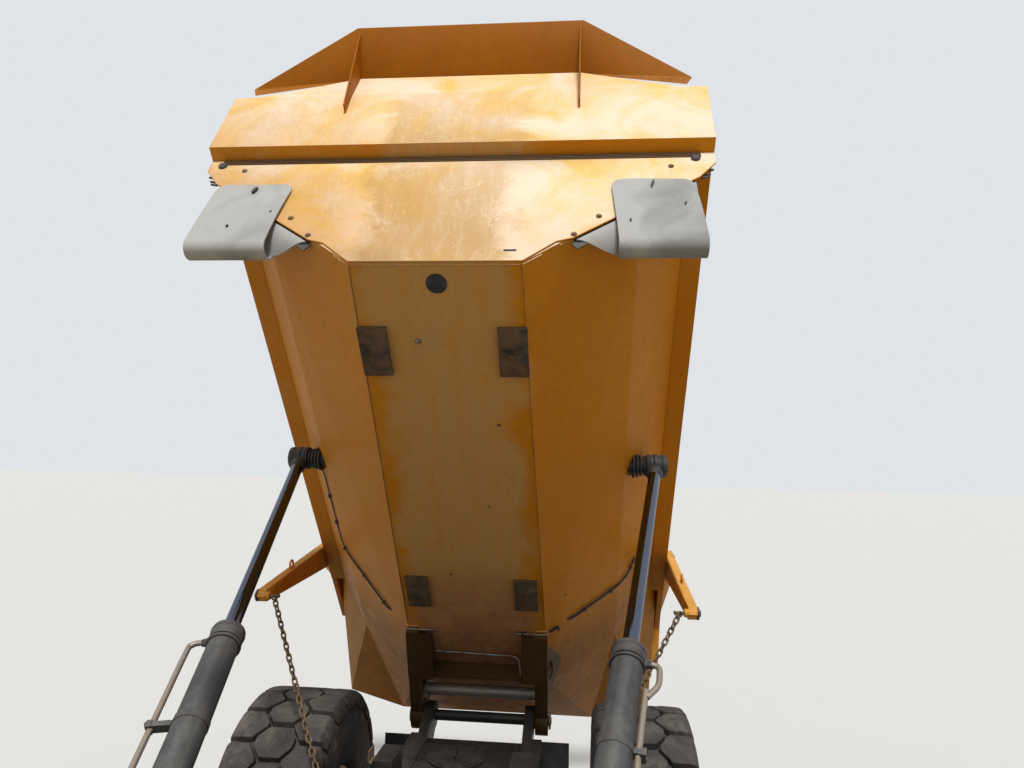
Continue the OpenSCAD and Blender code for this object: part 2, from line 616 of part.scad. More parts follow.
hoist_bore_x = 180;
module hoist_barrel(s) color("#1E1E20") set_down() on_side(s) along(hoist_base, hoist_up - hoist_base)
    barrel(hoist_ball_r, 50, 135, hoist_r, hoist_barrel_len, [90, hoist_r + 8], hoist_rod_r + run_gap, hoist_bore_x);

// Rod with its ball eye, reaching down into the barrel
module hoist_rod(s) color(steel) set_down() on_side(s) {
    len = norm(hoist_up - hoist_base);
    start = hoist_bore_x + 20 + len - norm(hoist_down - hoist_base);
    along(hoist_up, hoist_base - hoist_up)
        turned(concat(ball(hoist_ball_r, hoist_rod_r), [[len - start, hoist_rod_r], [len - start, 0]]));
}

module steer_barrel(s) color("#1E1E20") set_down() on_side(s) along(steer_base, steer_eye - steer_base)
    barrel(steer_ball_r, 32, 85, 55, steer_barrel_len, [50, 60], steer_rod_r + run_gap, 120);

module steer_rod(s) color(steel) set_down() on_side(s) {
    len = norm(steer_eye - steer_base);
    along(steer_base, steer_eye - steer_base) {
        translate([steer_rod_start, 0, 0]) rotate([0, 90, 0])
            cylinder(r = steer_rod_r, h = len - steer_rod_start - 30, $fn = 40);
        translate([len, 0, 0]) difference() {
            cylinder(r = 52, h = steer_eye_h, center = true, $fn = 40);
            cylinder(r = 26, h = steer_eye_h + 10, center = true, $fn = 40);
        }
    }
}

// Chains: each half is a ball at its end, then a row of links with every second one turned a quarter
link_len = 110;
link_w = 50;
link_wire = 14;
chain_pin_r = 9;                    // shackle pins at both ends of a half
chain_pin_len = 45;
chain_end_len = 95;                 // plain pin at the opened middle, so that the halves pass each other as they fold
chain_ball_r = 30;
chain_tip = [5, 3, 6];              // the opened middle: tip from the meeting point, its radius, length of its taper
module chain_link() linear_extrude(height = link_wire, center = true) difference() {
    polygon(link_outline(link_len / 2, link_w / 2, 14));
    polygon(link_outline(link_len / 2 - link_wire, link_w / 2 - link_wire, 6));
}
function link_outline(a, b, c) = [[a, b - c], [a - c, b], [c - a, b], [-a, b - c], [-a, c - b], [c - a, -b],
    [a - c, -b], [a, c - b]];
module chain_run(a, b) {
    len = norm(b - a);
    span = len - chain_pin_len - chain_end_len;
    n = floor(span / (link_len - 2 * link_wire + 2));
    step = (span - link_len + 2 * link_wire) / (n - 1);
    along(a, b - a) {
        turned(concat(ball(chain_ball_r, chain_pin_r), [[chain_pin_len + 8, chain_pin_r], [chain_pin_len + 8, 0]]), 24);
        for (i = [0:n - 1]) translate([chain_pin_len - link_wire + link_len / 2 + i * step, 0, 0]) rotate([90 * (i % 2), 0, 0])
            chain_link();
        tip = len - chain_tip[0];
        turned([[len - chain_end_len - 8, 0], [len - chain_end_len - 8, chain_pin_r], [tip - chain_tip[2], chain_pin_r],
            [tip, chain_tip[1]], [tip, 0]], 24);
    }
}
module chain_lower(s) color(steel) set_down() on_side(s) chain_run(chain_foot, chain_mid);
module chain_upper(s) color(steel) set_down() on_side(s) chain_run(chain_head, chain_mid);

// Tractor

engine_x = [2650, 3850];
engine_top = 2150;
module engine_block() color(shade) set_down() block(
    [engine_x[0], -front_rail_in, rail_top - 200], [engine_x[1], front_rail_in, engine_top]);
radiator_half = 600;
module radiator() color("#1E1E20") set_down() block([bumper_x - 100, -radiator_half, rail_top],
    [bumper_x, radiator_half, engine_top]);
bumper_z = [900, 1420];
lamp_depth = 60;                    // of a lamp's pocket in the bumper
lamp_y = [660, 1060];
lamp_z = [1180, 1340];
// Bumper with its lamp pockets, and the clevis that takes a tow pin
tow_pin = [bumper_x + 130, bumper_z[0] - 60];
tow_pin_r = 32;
tow_ear_y = [45, 80];
module bumper() color(paint) set_down() {
    difference() {
        block([bumper_x, -1150, bumper_z[0]], [front_x, 1150, bumper_z[1]]);
        both() block([front_x - lamp_depth, lamp_y[0], lamp_z[0]], [front_x + 10, lamp_y[1], lamp_z[1]]);
    }
    both() difference() {
        slab(tow_ear_y[0], tow_ear_y[1]) {
            translate(tow_pin) circle(r = 75, $fn = 48);
            translate([tow_pin[0] - 75, tow_pin[1]]) square([150, 70]);
        }
        cross_bar(tow_pin[0], tow_pin[1], tow_pin_r, tow_ear_y[0] - 5, tow_ear_y[1] + 5);
    }
}

cab_x0 = 870;
hood_x = [cab_x0 + cab_len + 30, 4200];
hood_low = bumper_z[1] + seat_gap;
module hood() color(paint) set_down() difference() {
    slab(-hood_w / 2, hood_w / 2) hood_side();
    slab(-hood_w / 2 + hood_t, hood_w / 2 - hood_t) hood_hollow();
    // Grille openings in the nose
    for (z = [1560:130:2080]) block([hood_x[1] - 120, -560, z], [hood_x[1] + 20, 560, z + 90]);
}
// Bends of the hood's top from its rear edge to its nose: [x, z]
hood_top = [[hood_x[0], 2700], [3300, 2620], [4000, 2380], [hood_x[1], 2200]];
module hood_side() polygon(concat([[hood_x[0], hood_low]], hood_top, [[hood_x[1], hood_low]]));
module hood_hollow() polygon([[hood_x[0] - 10, hood_low - 10], [hood_x[0] - 10, hood_top[0][1] - hood_t],
    [hood_top[1][0] - 1, hood_top[1][1] - hood_t], [hood_top[2][0] - 4, hood_top[2][1] - hood_t],
    [hood_x[1] - hood_t, hood_top[3][1] - hood_t], [hood_x[1] - hood_t, hood_low - 10]]);

// Fenders over the front wheels, with the steps ahead of them
fender_y = [930, 1730];
fender_top = 2010;
module fenders() color(paint) set_down() both() {
    slab(fender_y[0], fender_y[1]) polygon([[300, 1960], [380, fender_top], [2200, fender_top], [2420, 1700],
        [2420, 1680], [2180, fender_top - 20], [380, fender_top - 20], [320, 1940]]);
    // Arms from the rails
    for (x = [600, 1980]) {
        block([x, front_rail_out, rail_top - 80], [x + 60, fender_y[0], rail_top - 20]);
        block([x, fender_y[0] - 40, rail_top - 80], [x + 60, fender_y[0] + 10, fender_top - 5]);
    }
}

module side_tanks() color(shade) set_down() both() {
    block([2480, front_rail_out, 1180], [3500, 560, 1300]);
    block([2480, 560, 760], [3500, 1250, 1400]);
    for (z = [560, 1000]) block([3560, 900, z], [3900, 1350, z + 30]);
    block([3560, 880, 560], [3900, 900, 1300]);
    block([3500, 880, 1000], [3560, 900, 1300]);
}

deck_z = 2010;                      // underside of the deck behind the cab
module rear_deck() color(shade) set_down() {
    block([-230, -1040, deck_z], [cab_x0 - 10, 1040, deck_z + 40]);
    both() block([front_plate_x[1] + 5, front_rail_in, rail_top], [cab_x0 - 10, front_rail_out, deck_z]);
}

module deck_rails() color("#1E1E20") set_down() both() {
    top = deck_z + 1040;
    for (z = [deck_z + 540, top]) {
        bar([-200, 1000, z], [cab_x0 - 60, 1000, z]);
        bar([-200, 280, z], [-200, 1000, z]);
    }
    for (p = [[-200, 1000], [cab_x0 - 60, 1000], [-200, 280]]) bar([p[0], p[1], deck_z + 40], [p[0], p[1], top]);
}

// Cab

cab_floor = 1900;
cab_half = cab_w / 2;
cab_x1 = cab_x0 + cab_len;
glass_low = 2560;
glass_top = cab_top - 230;
door_x = [cab_x0 + 420, cab_x1 - 260];
door_gap = 6;
door_low = fender_top + 36;         // underside of the door opening, above the fender
pane_low = 2220;                    // bottom of the door's window
module cab_shell() color(paint) set_down() {
    both() for (x = [cab_x0 + 130, cab_x1 - 250]) block([x, front_rail_in + 10, rail_top], [x + 120, front_rail_out - 10,
        cab_floor + 20]);
    cab_box();
}
module cab_box() difference() {
    block([cab_x0, -cab_half, cab_floor], [cab_x1, cab_half, cab_top]);
    block([cab_x0 + cab_t, -cab_half + cab_t, cab_floor + 60], [cab_x1 - cab_t, cab_half - cab_t, cab_top - 90]);
    // Front, rear and right-hand windows, then the door opening
    block([cab_x1 - cab_t - 5, -cab_half + 90, glass_low], [cab_x1 + 5, cab_half - 90, glass_top]);
    block([cab_x0 - 5, -cab_half + 110, glass_low], [cab_x0 + cab_t + 5, cab_half - 110, glass_top]);
    block([cab_x0 + 120, -cab_half - 5, glass_low], [door_x[0] - 60, -cab_half + cab_t + 5, glass_top]);
    block([door_x[0], -cab_half - 5, glass_low], [door_x[1], -cab_half + cab_t + 5, glass_top]);
    block([cab_x0 + 120, cab_half - cab_t - 5, glass_low], [door_x[0] - 60, cab_half + 5, glass_top]);
    block([door_x[0], cab_half - cab_t - 5, door_low], [door_x[1], cab_half + 5, glass_top + 60]);
}
module cab_glass() color([0.3, 0.4, 0.45, 0.4]) set_down() {
    g = seat_gap;
    block([cab_x1 - cab_t / 2, -cab_half + 90 + g, glass_low + g], [cab_x1 - cab_t / 2 + 6, cab_half - 90 - g, glass_top - g]);
    block([cab_x0 + cab_t / 2, -cab_half + 110 + g, glass_low + g], [cab_x0 + cab_t / 2 + 6, cab_half - 110 - g, glass_top - g]);
    both() block([cab_x0 + 120 + g, cab_half - cab_t / 2, glass_low + g],
        [door_x[0] - 60 - g, cab_half - cab_t / 2 + 6, glass_top - g]);
    block([door_x[0] + g, -cab_half + cab_t / 2, glass_low + g], [door_x[1] - g, -cab_half + cab_t / 2 + 6, glass_top - g]);
}
module cab_door() color(paint) set_down() difference() {
    block([door_x[0] + door_gap, cab_half - cab_t, door_low + door_gap],
        [door_x[1] - seat_gap, cab_half, glass_top + 60 - door_gap]);
    block([door_x[0] + 80, cab_half - cab_t - 5, pane_low], [door_x[1] - 80, cab_half + 5, glass_top - 10]);
}
module door_glass() color([0.3, 0.4, 0.45, 0.4]) set_down() block([door_x[0] + 80 + seat_gap, cab_half - cab_t / 2,
    pane_low + seat_gap], [door_x[1] - 80 - seat_gap, cab_half - cab_t / 2 + 6, glass_top - 10 - seat_gap]);
module cab_seat() color("#26262A") set_down() {
    floor_z = cab_floor + 60 + seat_gap;
    block([1450, -180, floor_z], [1800, 180, floor_z + 320]);
    block([1400, -270, floor_z + 320], [1930, 270, floor_z + 460]);
    translate([1400, -260, floor_z + 440]) rotate([0, -12, 0]) cube([130, 520, 720]);
}
module cab_console() color("#26262A") set_down() {
    floor_z = cab_floor + 60 + seat_gap;
    block([cab_x1 - cab_t - 320, -760, floor_z], [cab_x1 - cab_t - seat_gap, 560, floor_z + 520]);
    along([cab_x1 - cab_t - 300, 0, floor_z + 440], [-1, 0, 1.2]) rotate([0, 90, 0]) {
        cylinder(r = 40, h = 260, $fn = 24);
        translate([0, 0, 260]) cylinder(r = 210, h = 30, $fn = 48);
    }
}
module exhaust_stack() color(steel) set_down() {
    // Stands on the right fender beside the cab
    translate([cab_x0 + 280, -(cab_half + 150), fender_top]) cylinder(r = 68, h = 1640, $fn = 40);
}
module mirrors() color("#1E1E20") set_down() both() {
    block([cab_x1, cab_half - 80, 3260], [cab_x1 + 30, cab_half - 20, 3340]);
    bar([cab_x1 + 20, cab_half - 50, 3300], [cab_x1 + 300, cab_half + 360, 3300], 16);
    block([cab_x1 + 290, cab_half + 260, 2850], [cab_x1 + 330, cab_half + 520, 3320]);
}
module head_lamps() color("white") set_down() both()
    block([front_x - lamp_depth, lamp_y[0] + seat_gap, lamp_z[0] + seat_gap],
        [front_x - 12, lamp_y[1] - seat_gap, lamp_z[1] - seat_gap]);

front_frame();
front_axle();
engine_block();
radiator();
bumper();
fenders();
side_tanks();
rear_deck();
deck_rails();
cab_shell();
cab_glass();
cab_seat();
cab_console();
cab_door();
door_glass();
exhaust_stack();
mirrors();
head_lamps();
hood();
steer_barrel(1);  // steer_barrel_left
steer_barrel(-1);  // steer_barrel_right
steer_rod(1);  // steer_rod_left
steer_rod(-1);  // steer_rod_right
hitch();
rear_frame();
frame_brackets();
frame_cover();
rear_axles();
walking_beams();
tyre(front_axle_x, 1);  // tyre_front_left
tyre(front_axle_x, -1);  // tyre_front_right
tyre(centre_axle_x, 1);  // tyre_centre_left
tyre(centre_axle_x, -1);  // tyre_centre_right
tyre(rear_axle_x, 1);  // tyre_rear_left
tyre(rear_axle_x, -1);  // tyre_rear_right
rim(front_axle_x, 1);  // rim_front_left
rim(front_axle_x, -1);  // rim_front_right
rim(centre_axle_x, 1);  // rim_centre_left
rim(centre_axle_x, -1);  // rim_centre_right
rim(rear_axle_x, 1);  // rim_rear_left
rim(rear_axle_x, -1);  // rim_rear_right
bed_tub();
bed_front_wall();
bed_top_rails();
bed_canopy();
bed_hinge_legs();
bed_pads();
bed_bosses();
bed_flaps();
tailgate();
hoist_barrel(1);  // hoist_barrel_left
hoist_barrel(-1);  // hoist_barrel_right
hoist_rod(1);  // hoist_rod_left
hoist_rod(-1);  // hoist_rod_right
chain_lower(1);  // chain_lower_left
chain_lower(-1);  // chain_lower_right
chain_upper(1);  // chain_upper_left
chain_upper(-1);  // chain_upper_right
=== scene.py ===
# Articulated dump truck with its bed raised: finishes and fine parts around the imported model.
# Metres, +X forward, +Y to the machine's left, +Z up, the same frame as the CAD model.
import json
from math import atan, copysign, cos, exp, pi, radians, sin, sqrt
import random

import bmesh
import bpy
from mathutils import Matrix, Vector
from mathutils.bvhtree import BVHTree


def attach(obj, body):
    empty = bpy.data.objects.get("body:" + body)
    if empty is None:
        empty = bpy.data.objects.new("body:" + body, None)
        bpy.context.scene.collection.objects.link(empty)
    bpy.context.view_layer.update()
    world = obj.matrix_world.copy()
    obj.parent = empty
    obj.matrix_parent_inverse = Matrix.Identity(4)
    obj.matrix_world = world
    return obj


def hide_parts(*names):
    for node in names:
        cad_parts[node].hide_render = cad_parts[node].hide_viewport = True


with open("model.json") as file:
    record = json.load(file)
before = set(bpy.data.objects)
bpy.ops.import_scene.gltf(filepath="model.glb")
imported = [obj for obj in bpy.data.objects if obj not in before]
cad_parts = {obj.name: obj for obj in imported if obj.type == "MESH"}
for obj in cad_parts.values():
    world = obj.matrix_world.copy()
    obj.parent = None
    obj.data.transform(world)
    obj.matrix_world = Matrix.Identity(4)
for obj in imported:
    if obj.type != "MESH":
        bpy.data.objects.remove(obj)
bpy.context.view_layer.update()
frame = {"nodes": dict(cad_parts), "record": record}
nodes = frame["nodes"]
print("stage: frame loaded,", len(nodes), "nodes")

# The camera stands on the deck behind the cab and looks back at the raised bed
camera = dict(place=(2.564, 0.85, 3.73), yaw=-5.51, pitch=6.36, roll=1.31, focal=715.5, imageWidth=1024)


def makeCamera(s):
    yaw, pitch, roll = (radians(s[k]) for k in ("yaw", "pitch", "roll"))
    ahead = Vector((-cos(yaw) * cos(pitch), sin(yaw) * cos(pitch), sin(pitch)))
    right = Vector((sin(yaw), cos(yaw), 0))
    up = right.cross(ahead)
    rolledRight = right * cos(roll) + up * sin(roll)
    rolledUp = up * cos(roll) - right * sin(roll)
    lens = bpy.data.cameras.new("deckCamera")
    lens.sensor_width = 36
    lens.lens = s["focal"] / s["imageWidth"] * lens.sensor_width
    lens.clip_start, lens.clip_end = 0.05, 400
    holder = bpy.data.objects.new("deckCamera", lens)
    turn = Matrix((rolledRight, rolledUp, -ahead)).transposed().to_4x4()
    holder.matrix_world = Matrix.Translation(s["place"]) @ turn
    bpy.context.scene.collection.objects.link(holder)
    bpy.context.scene.camera = holder


makeCamera(camera)


# Colours are written as seen on a screen, 0 to 255
def tint(r, g, b, alpha=1.0):
    return tuple(((c / 255 + 0.055) / 1.055) ** 2.4 if c > 10 else c / 255 / 12.92 for c in (r, g, b)) + (alpha,)


palette = dict(paint=tint(226, 150, 34), paintFaded=tint(236, 176, 78), bedPaint=tint(206, 132, 16),
    bedFaded=tint(222, 152, 38), bleachedSunlit=tint(248, 206, 122), chalkSunlit=tint(252, 232, 205), floorDust=tint(200, 160, 104),
    pinkRust=tint(168, 112, 84), scoured=tint(140, 132, 122), greyDust=tint(148, 146, 140),
    chromePaintedSky=tint(98, 104, 118), clay=tint(176, 146, 104), mud=tint(104, 80, 52), rust=tint(104, 56, 26),
    primer=tint(70, 66, 62), bareMetal=tint(138, 136, 132), paintedShadeOrange=tint(154, 88, 2), darkGrimeAndShadow=tint(78, 54, 20),
    dryGrimeAndShade=tint(60, 46, 28), black=tint(34, 34, 36), blackFaded=tint(74, 74, 76), grease=tint(22, 19, 16),
    greaseDry=tint(40, 38, 35), rubber=tint(40, 39, 38), rubberDust=tint(104, 98, 90), flap=tint(140, 140, 138),
    flapPale=tint(176, 176, 172), flapDark=tint(64, 66, 66), plastic=tint(30, 30, 32), seat=tint(46, 46, 50),
    lamp=tint(238, 240, 240), amber=tint(226, 112, 12), red=tint(160, 16, 12), glass=tint(206, 218, 214),
    floor=tint(214, 213, 210), floorShade=tint(206, 205, 202), surround=tint(224, 228, 232))


# Node helpers
def put(tree, kind, **inputs):
    made = tree.nodes.new(kind)
    for key, value in inputs.items():
        if hasattr(made, key) and key not in made.inputs:
            setattr(made, key, value)
    return made


def feed(tree, made, socket, value):
    if isinstance(value, bpy.types.NodeSocket):
        tree.links.new(value, made.inputs[socket])
    elif value is not None:
        made.inputs[socket].default_value = value


def mathNode(tree, operation, a, b=None, clamp=False):
    made = put(tree, "ShaderNodeMath", operation=operation, use_clamp=clamp)
    feed(tree, made, 0, a)
    feed(tree, made, 1, b)
    return made.outputs[0]


def times(tree, a, b, clamp=False):
    return mathNode(tree, "MULTIPLY", a, b, clamp)


def mixColour(tree, share, a, b, blend="MIX"):
    made = put(tree, "ShaderNodeMix", data_type="RGBA", blend_type=blend, clamp_factor=True)
    feed(tree, made, 0, share)
    feed(tree, made, 6, a)
    feed(tree, made, 7, b)
    return made.outputs[2]


def noiseField(tree, place, scale, detail=4.0, rough=0.55, warp=0.0):
    made = put(tree, "ShaderNodeTexNoise")
    feed(tree, made, "Vector", place)
    feed(tree, made, "Scale", scale)
    feed(tree, made, "Detail", detail)
    feed(tree, made, "Roughness", rough)
    feed(tree, made, "Distortion", warp)
    return made.outputs["Fac"]


def spread(tree, value, low, high, outLow=0.0, outHigh=1.0):
    made = put(tree, "ShaderNodeMapRange", clamp=True)
    for socket, item in enumerate((value, low, high, outLow, outHigh)):
        feed(tree, made, socket, item)
    return made.outputs[0]


def stretched(tree, place, scale, turn=(0, 0, 0)):
    made = put(tree, "ShaderNodeMapping")
    feed(tree, made, "Vector", place)
    made.inputs["Rotation"].default_value = turn
    made.inputs["Scale"].default_value = scale
    return made.outputs[0]


def newGroup(name, inputs, outputs):
    group = bpy.data.node_groups.new(name, "ShaderNodeTree")
    kinds = dict(value="NodeSocketFloat", colour="NodeSocketColor", vector="NodeSocketVector")
    for label, kind, default in inputs:
        socket = group.interface.new_socket(label, in_out="INPUT", socket_type=kinds[kind])
        if default is not None:
            socket.default_value = default
    for label, kind in outputs:
        group.interface.new_socket(label, in_out="OUTPUT", socket_type=kinds[kind])
    return group, group.nodes.new("NodeGroupInput").outputs, group.nodes.new("NodeGroupOutput").inputs


# Paint that is faded in broad patches and scuffed down to primer in small ones
def makePaintGroup():
    group, given, gives = newGroup("wornPaint", [("Place", "vector", None), ("Paint", "colour", palette["paint"]),
        ("Faded", "colour", palette["paintFaded"]), ("Under", "colour", palette["primer"]), ("Fade", "value", 0.5),
        ("Scuffs", "value", 0.3)], [("Color", "colour"), ("Scuffed", "value"), ("Roughness", "value"),
        ("Height", "value")])
    broad = noiseField(group, given["Place"], 0.9, 5, 0.6, 0.4)
    fine = noiseField(group, given["Place"], 14, 6, 0.65)
    faded = times(group, spread(group, broad, 0.38, 0.68), given["Fade"])
    colour = mixColour(group, faded, given["Paint"], given["Faded"])
    colour = mixColour(group, spread(group, fine, 0.3, 0.8, 0, 0.14), colour, (0.02, 0.012, 0.004, 1))
    scratchPlace = stretched(group, given["Place"], (3.5, 22, 3.5), (0.3, 0.5, 0.8))
    scratches = spread(group, noiseField(group, scratchPlace, 5, 8, 0.75), 0.69, 0.76)
    chips = spread(group, noiseField(group, given["Place"], 7, 10, 0.8, 0.2), 0.66, 0.71)
    scuffed = times(group, mathNode(group, "MAXIMUM", scratches, chips), given["Scuffs"], True)
    group.links.new(mixColour(group, scuffed, colour, given["Under"]), gives["Color"])
    group.links.new(scuffed, gives["Scuffed"])
    group.links.new(spread(group, fine, 0.2, 0.8, 0.36, 0.62), gives["Roughness"])
    group.links.new(mathNode(group, "SUBTRACT", times(group, fine, 0.25), scuffed), gives["Height"])
    return group


# Bare metal and rust along convex edges
def makeEdgeGroup():
    group, given, gives = newGroup("edgeWear", [("Place", "vector", None), ("Radius", "value", 0.006),
        ("Wear", "value", 0.7)], [("Mask", "value")])
    bevel = put(group, "ShaderNodeBevel", samples=4)
    group.links.new(given["Radius"], bevel.inputs["Radius"])
    plain = put(group, "ShaderNodeNewGeometry")
    turn = put(group, "ShaderNodeVectorMath", operation="DOT_PRODUCT")
    group.links.new(bevel.outputs[0], turn.inputs[0])
    group.links.new(plain.outputs["Normal"], turn.inputs[1])
    edge = spread(group, turn.outputs["Value"], 0.995, 0.86)
    patchy = spread(group, noiseField(group, given["Place"], 22, 6, 0.7), 0.42, 0.6)
    mask = times(group, times(group, edge, patchy), given["Wear"], True)
    group.links.new(mask, gives["Mask"])
    return group


# Dry dust on faces that look up, and in blotches everywhere
def makeDustGroup():
    group, given, gives = newGroup("dustLayer", [("Place", "vector", None), ("Facing", "vector", None),
        ("Color", "colour", palette["paint"]), ("Dust", "colour", palette["clay"]), ("Top", "value", 0.6),
        ("Blotches", "value", 0.3), ("Roughness", "value", 0.5)],
        [("Color", "colour"), ("Roughness", "value"), ("Mask", "value")])
    split = put(group, "ShaderNodeSeparateXYZ")
    group.links.new(given["Facing"], split.inputs[0])
    up = times(group, spread(group, split.outputs[2], 0.2, 0.95), given["Top"])
    cloud = noiseField(group, given["Place"], 2.3, 8, 0.68, 0.6)
    speck = noiseField(group, given["Place"], 38, 5, 0.7)
    blotch = times(group, spread(group, cloud, 0.44, 0.7), given["Blotches"])
    both = mathNode(group, "ADD", times(group, up, spread(group, cloud, 0.2, 0.62)), blotch)
    mask = times(group, both, spread(group, speck, 0.25, 0.62, 0.55, 1), True)
    group.links.new(mixColour(group, mask, given["Color"], given["Dust"]), gives["Color"])
    group.links.new(spread(group, mask, 0, 1, given["Roughness"], 0.92), gives["Roughness"])
    group.links.new(mask, gives["Mask"])
    return group


# The bed's colouring: sun bleach and painted sunlight on faces that look up, tan dust in swirls along the floor, rust
# at its foot, painted shade under the tail, scoured inside
bedFrame = dict(pivot=(-4.02567, 1.49), raised=49.0)


def dotNode(tree, a, b):
    made = put(tree, "ShaderNodeVectorMath", operation="DOT_PRODUCT")
    feed(tree, made, 0, a)
    feed(tree, made, 1, b)
    return made.outputs["Value"]


def makeBedGroup():
    group, given, gives = newGroup("bedWeatherAndLight", [("Place", "vector", None), ("Facing", "vector", None),
        ("Color", "colour", palette["paint"]), ("Dust", "colour", palette["floorDust"]),
        ("SunlitBleached", "colour", palette["bleachedSunlit"]), ("SunlitChalk", "colour", palette["chalkSunlit"]),
        ("Rust", "colour", palette["pinkRust"]), ("Steel", "colour", palette["scoured"]),
        ("TailShade", "colour", palette["dryGrimeAndShade"]), ("Amount", "value", 0.8), ("SunlitBleach", "value", 0.9),
        ("Inner", "value", 1.0)], [("Color", "colour"), ("Roughness", "value"), ("Liner", "value")])
    place, facing = given["Place"], given["Facing"]
    tip = radians(bedFrame["raised"])
    px, pz = bedFrame["pivot"]
    uAxis, wAxis = (cos(tip), 0, sin(tip)), (-sin(tip), 0, cos(tip))
    u = mathNode(group, "SUBTRACT", dotNode(group, place, uAxis), px * uAxis[0] + pz * uAxis[2])
    split, turned = put(group, "ShaderNodeSeparateXYZ"), put(group, "ShaderNodeSeparateXYZ")
    group.links.new(place, split.inputs[0])
    group.links.new(facing, turned.inputs[0])
    across = split.outputs[1]
    cloud = noiseField(group, place, 1.7, 6, 0.62, 0.7)
    patch = noiseField(group, place, 4.5, 9, 0.7, 0.9)
    # Paler where it looks up at the sky: partly sun bleach, partly painted sunlight on the top faces
    up = times(group, spread(group, turned.outputs[2], 0.12, 0.5), given["SunlitBleach"])
    chalkSunlit = mixColour(group, spread(group, cloud, 0.36, 0.58), given["SunlitBleached"], given["SunlitChalk"])
    colour = mixColour(group, up, given["Color"], chalkSunlit)
    # Dust on the underside, densest along the middle plate
    wide = mathNode(group, "ADD", mathNode(group, "ABSOLUTE", across), spread(group, cloud, 0.3, 0.7, -0.14, 0.14))
    middle = spread(group, wide, 0.54, 0.4)
    side = spread(group, across, -0.45, -0.75, 0, 0.5)
    runs = noiseField(group, stretched(group, place, (0.6, 8, 1.6), (0, tip, 0)), 1.6, 8, 0.72, 0.4)
    cover = mathNode(group, "MAXIMUM", middle, times(group, side, spread(group, patch, 0.34, 0.62)))
    cover = times(group, cover, spread(group, runs, 0.3, 0.55, 0.62, 1))
    sweep = stretched(group, place, (1.6, 3.4, 1.6), (0.35, 0.2, 0.5))
    arcs = noiseField(group, sweep, 2.1, 3, 0.5, 2.4)
    wiped = times(group, spread(group, mathNode(group, "ABSOLUTE", mathNode(group, "SUBTRACT", arcs, 0.5)), 0.022,
        0.004), spread(group, patch, 0.42, 0.56, 0, 0.55))
    under = spread(group, dotNode(group, facing, wAxis), -0.1, -0.4)
    cover = times(group, mathNode(group, "SUBTRACT", cover, wiped, True), times(group, under, given["Amount"]), True)
    colour = mixColour(group, cover, colour, given["Dust"])
    # Pinkish rust and specks between the lower pads
    low = times(group, spread(group, u, 1.75, 1.1), spread(group, patch, 0.35, 0.6, 0.35, 0.9))
    low = times(group, times(group, low, middle), under)
    colour = mixColour(group, low, colour, given["Rust"])
    speck = times(group, spread(group, noiseField(group, place, 20, 3, 0.6), 0.68, 0.72),
        spread(group, u, 1.7, 1.2, 0.0, 0.9))
    colour = mixColour(group, times(group, speck, under), colour, palette["rust"])
    # Painted shade under the tail: the underside near the hinge end darkened as if in shadow
    tail = times(group, spread(group, u, 1.0, 0.45), spread(group, patch, 0.3, 0.6, 0.3, 0.55))
    colour = mixColour(group, times(group, tail, under), colour, given["TailShade"])
    # Scoured steel on the inner faces
    inner = spread(group, times(group, times(group, across, turned.outputs[1]), -1), 0.02, 0.1)
    inner = mathNode(group, "MAXIMUM", inner, spread(group, dotNode(group, facing, wAxis), 0.55, 0.8))
    inside = times(group, times(group, inner, spread(group, u, 4.9, 4.6)), given["Inner"])
    scars = noiseField(group, stretched(group, place, (0.8, 26, 9), (0, tip, 0)), 2, 7, 0.75, 0.2)
    steel = mixColour(group, spread(group, scars, 0.4, 0.65), given["Steel"], palette["rust"])
    steel = mixColour(group, spread(group, patch, 0.55, 0.7, 0, 0.8), steel, given["Dust"])
    group.links.new(mixColour(group, inside, colour, steel), gives["Color"])
    rough = mathNode(group, "MAXIMUM", spread(group, cover, 0, 1, 0.46, 0.9), times(group, inside, 0.6))
    group.links.new(rough, gives["Roughness"])
    group.links.new(inside, gives["Liner"])
    return group


paintGroup, edgeGroup, dustGroup, bedGroup = makePaintGroup(), makeEdgeGroup(), makeDustGroup(), makeBedGroup()


def useGroup(tree, group, **values):
    made = tree.nodes.new("ShaderNodeGroup")
    made.node_tree = group
    for key, value in values.items():
        feed(tree, made, key, value)
    return made.outputs


def startMaterial(name, **plain):
    material = bpy.data.materials.new(name)
    material.use_nodes = True
    tree = material.node_tree
    shader = tree.nodes["Principled BSDF"]
    for socket, value in plain.items():
        shader.inputs[socket.replace("_", " ")].default_value = value
    place = tree.nodes.new("ShaderNodeTexCoord")
    return material, tree, shader, place.outputs["Object"], place.outputs["Normal"]


def bump(tree, shader, height, strength, distance):
    made = put(tree, "ShaderNodeBump")
    feed(tree, made, "Height", height)
    made.inputs["Strength"].default_value = strength
    made.inputs["Distance"].default_value = distance
    tree.links.new(made.outputs[0], shader.inputs["Normal"])
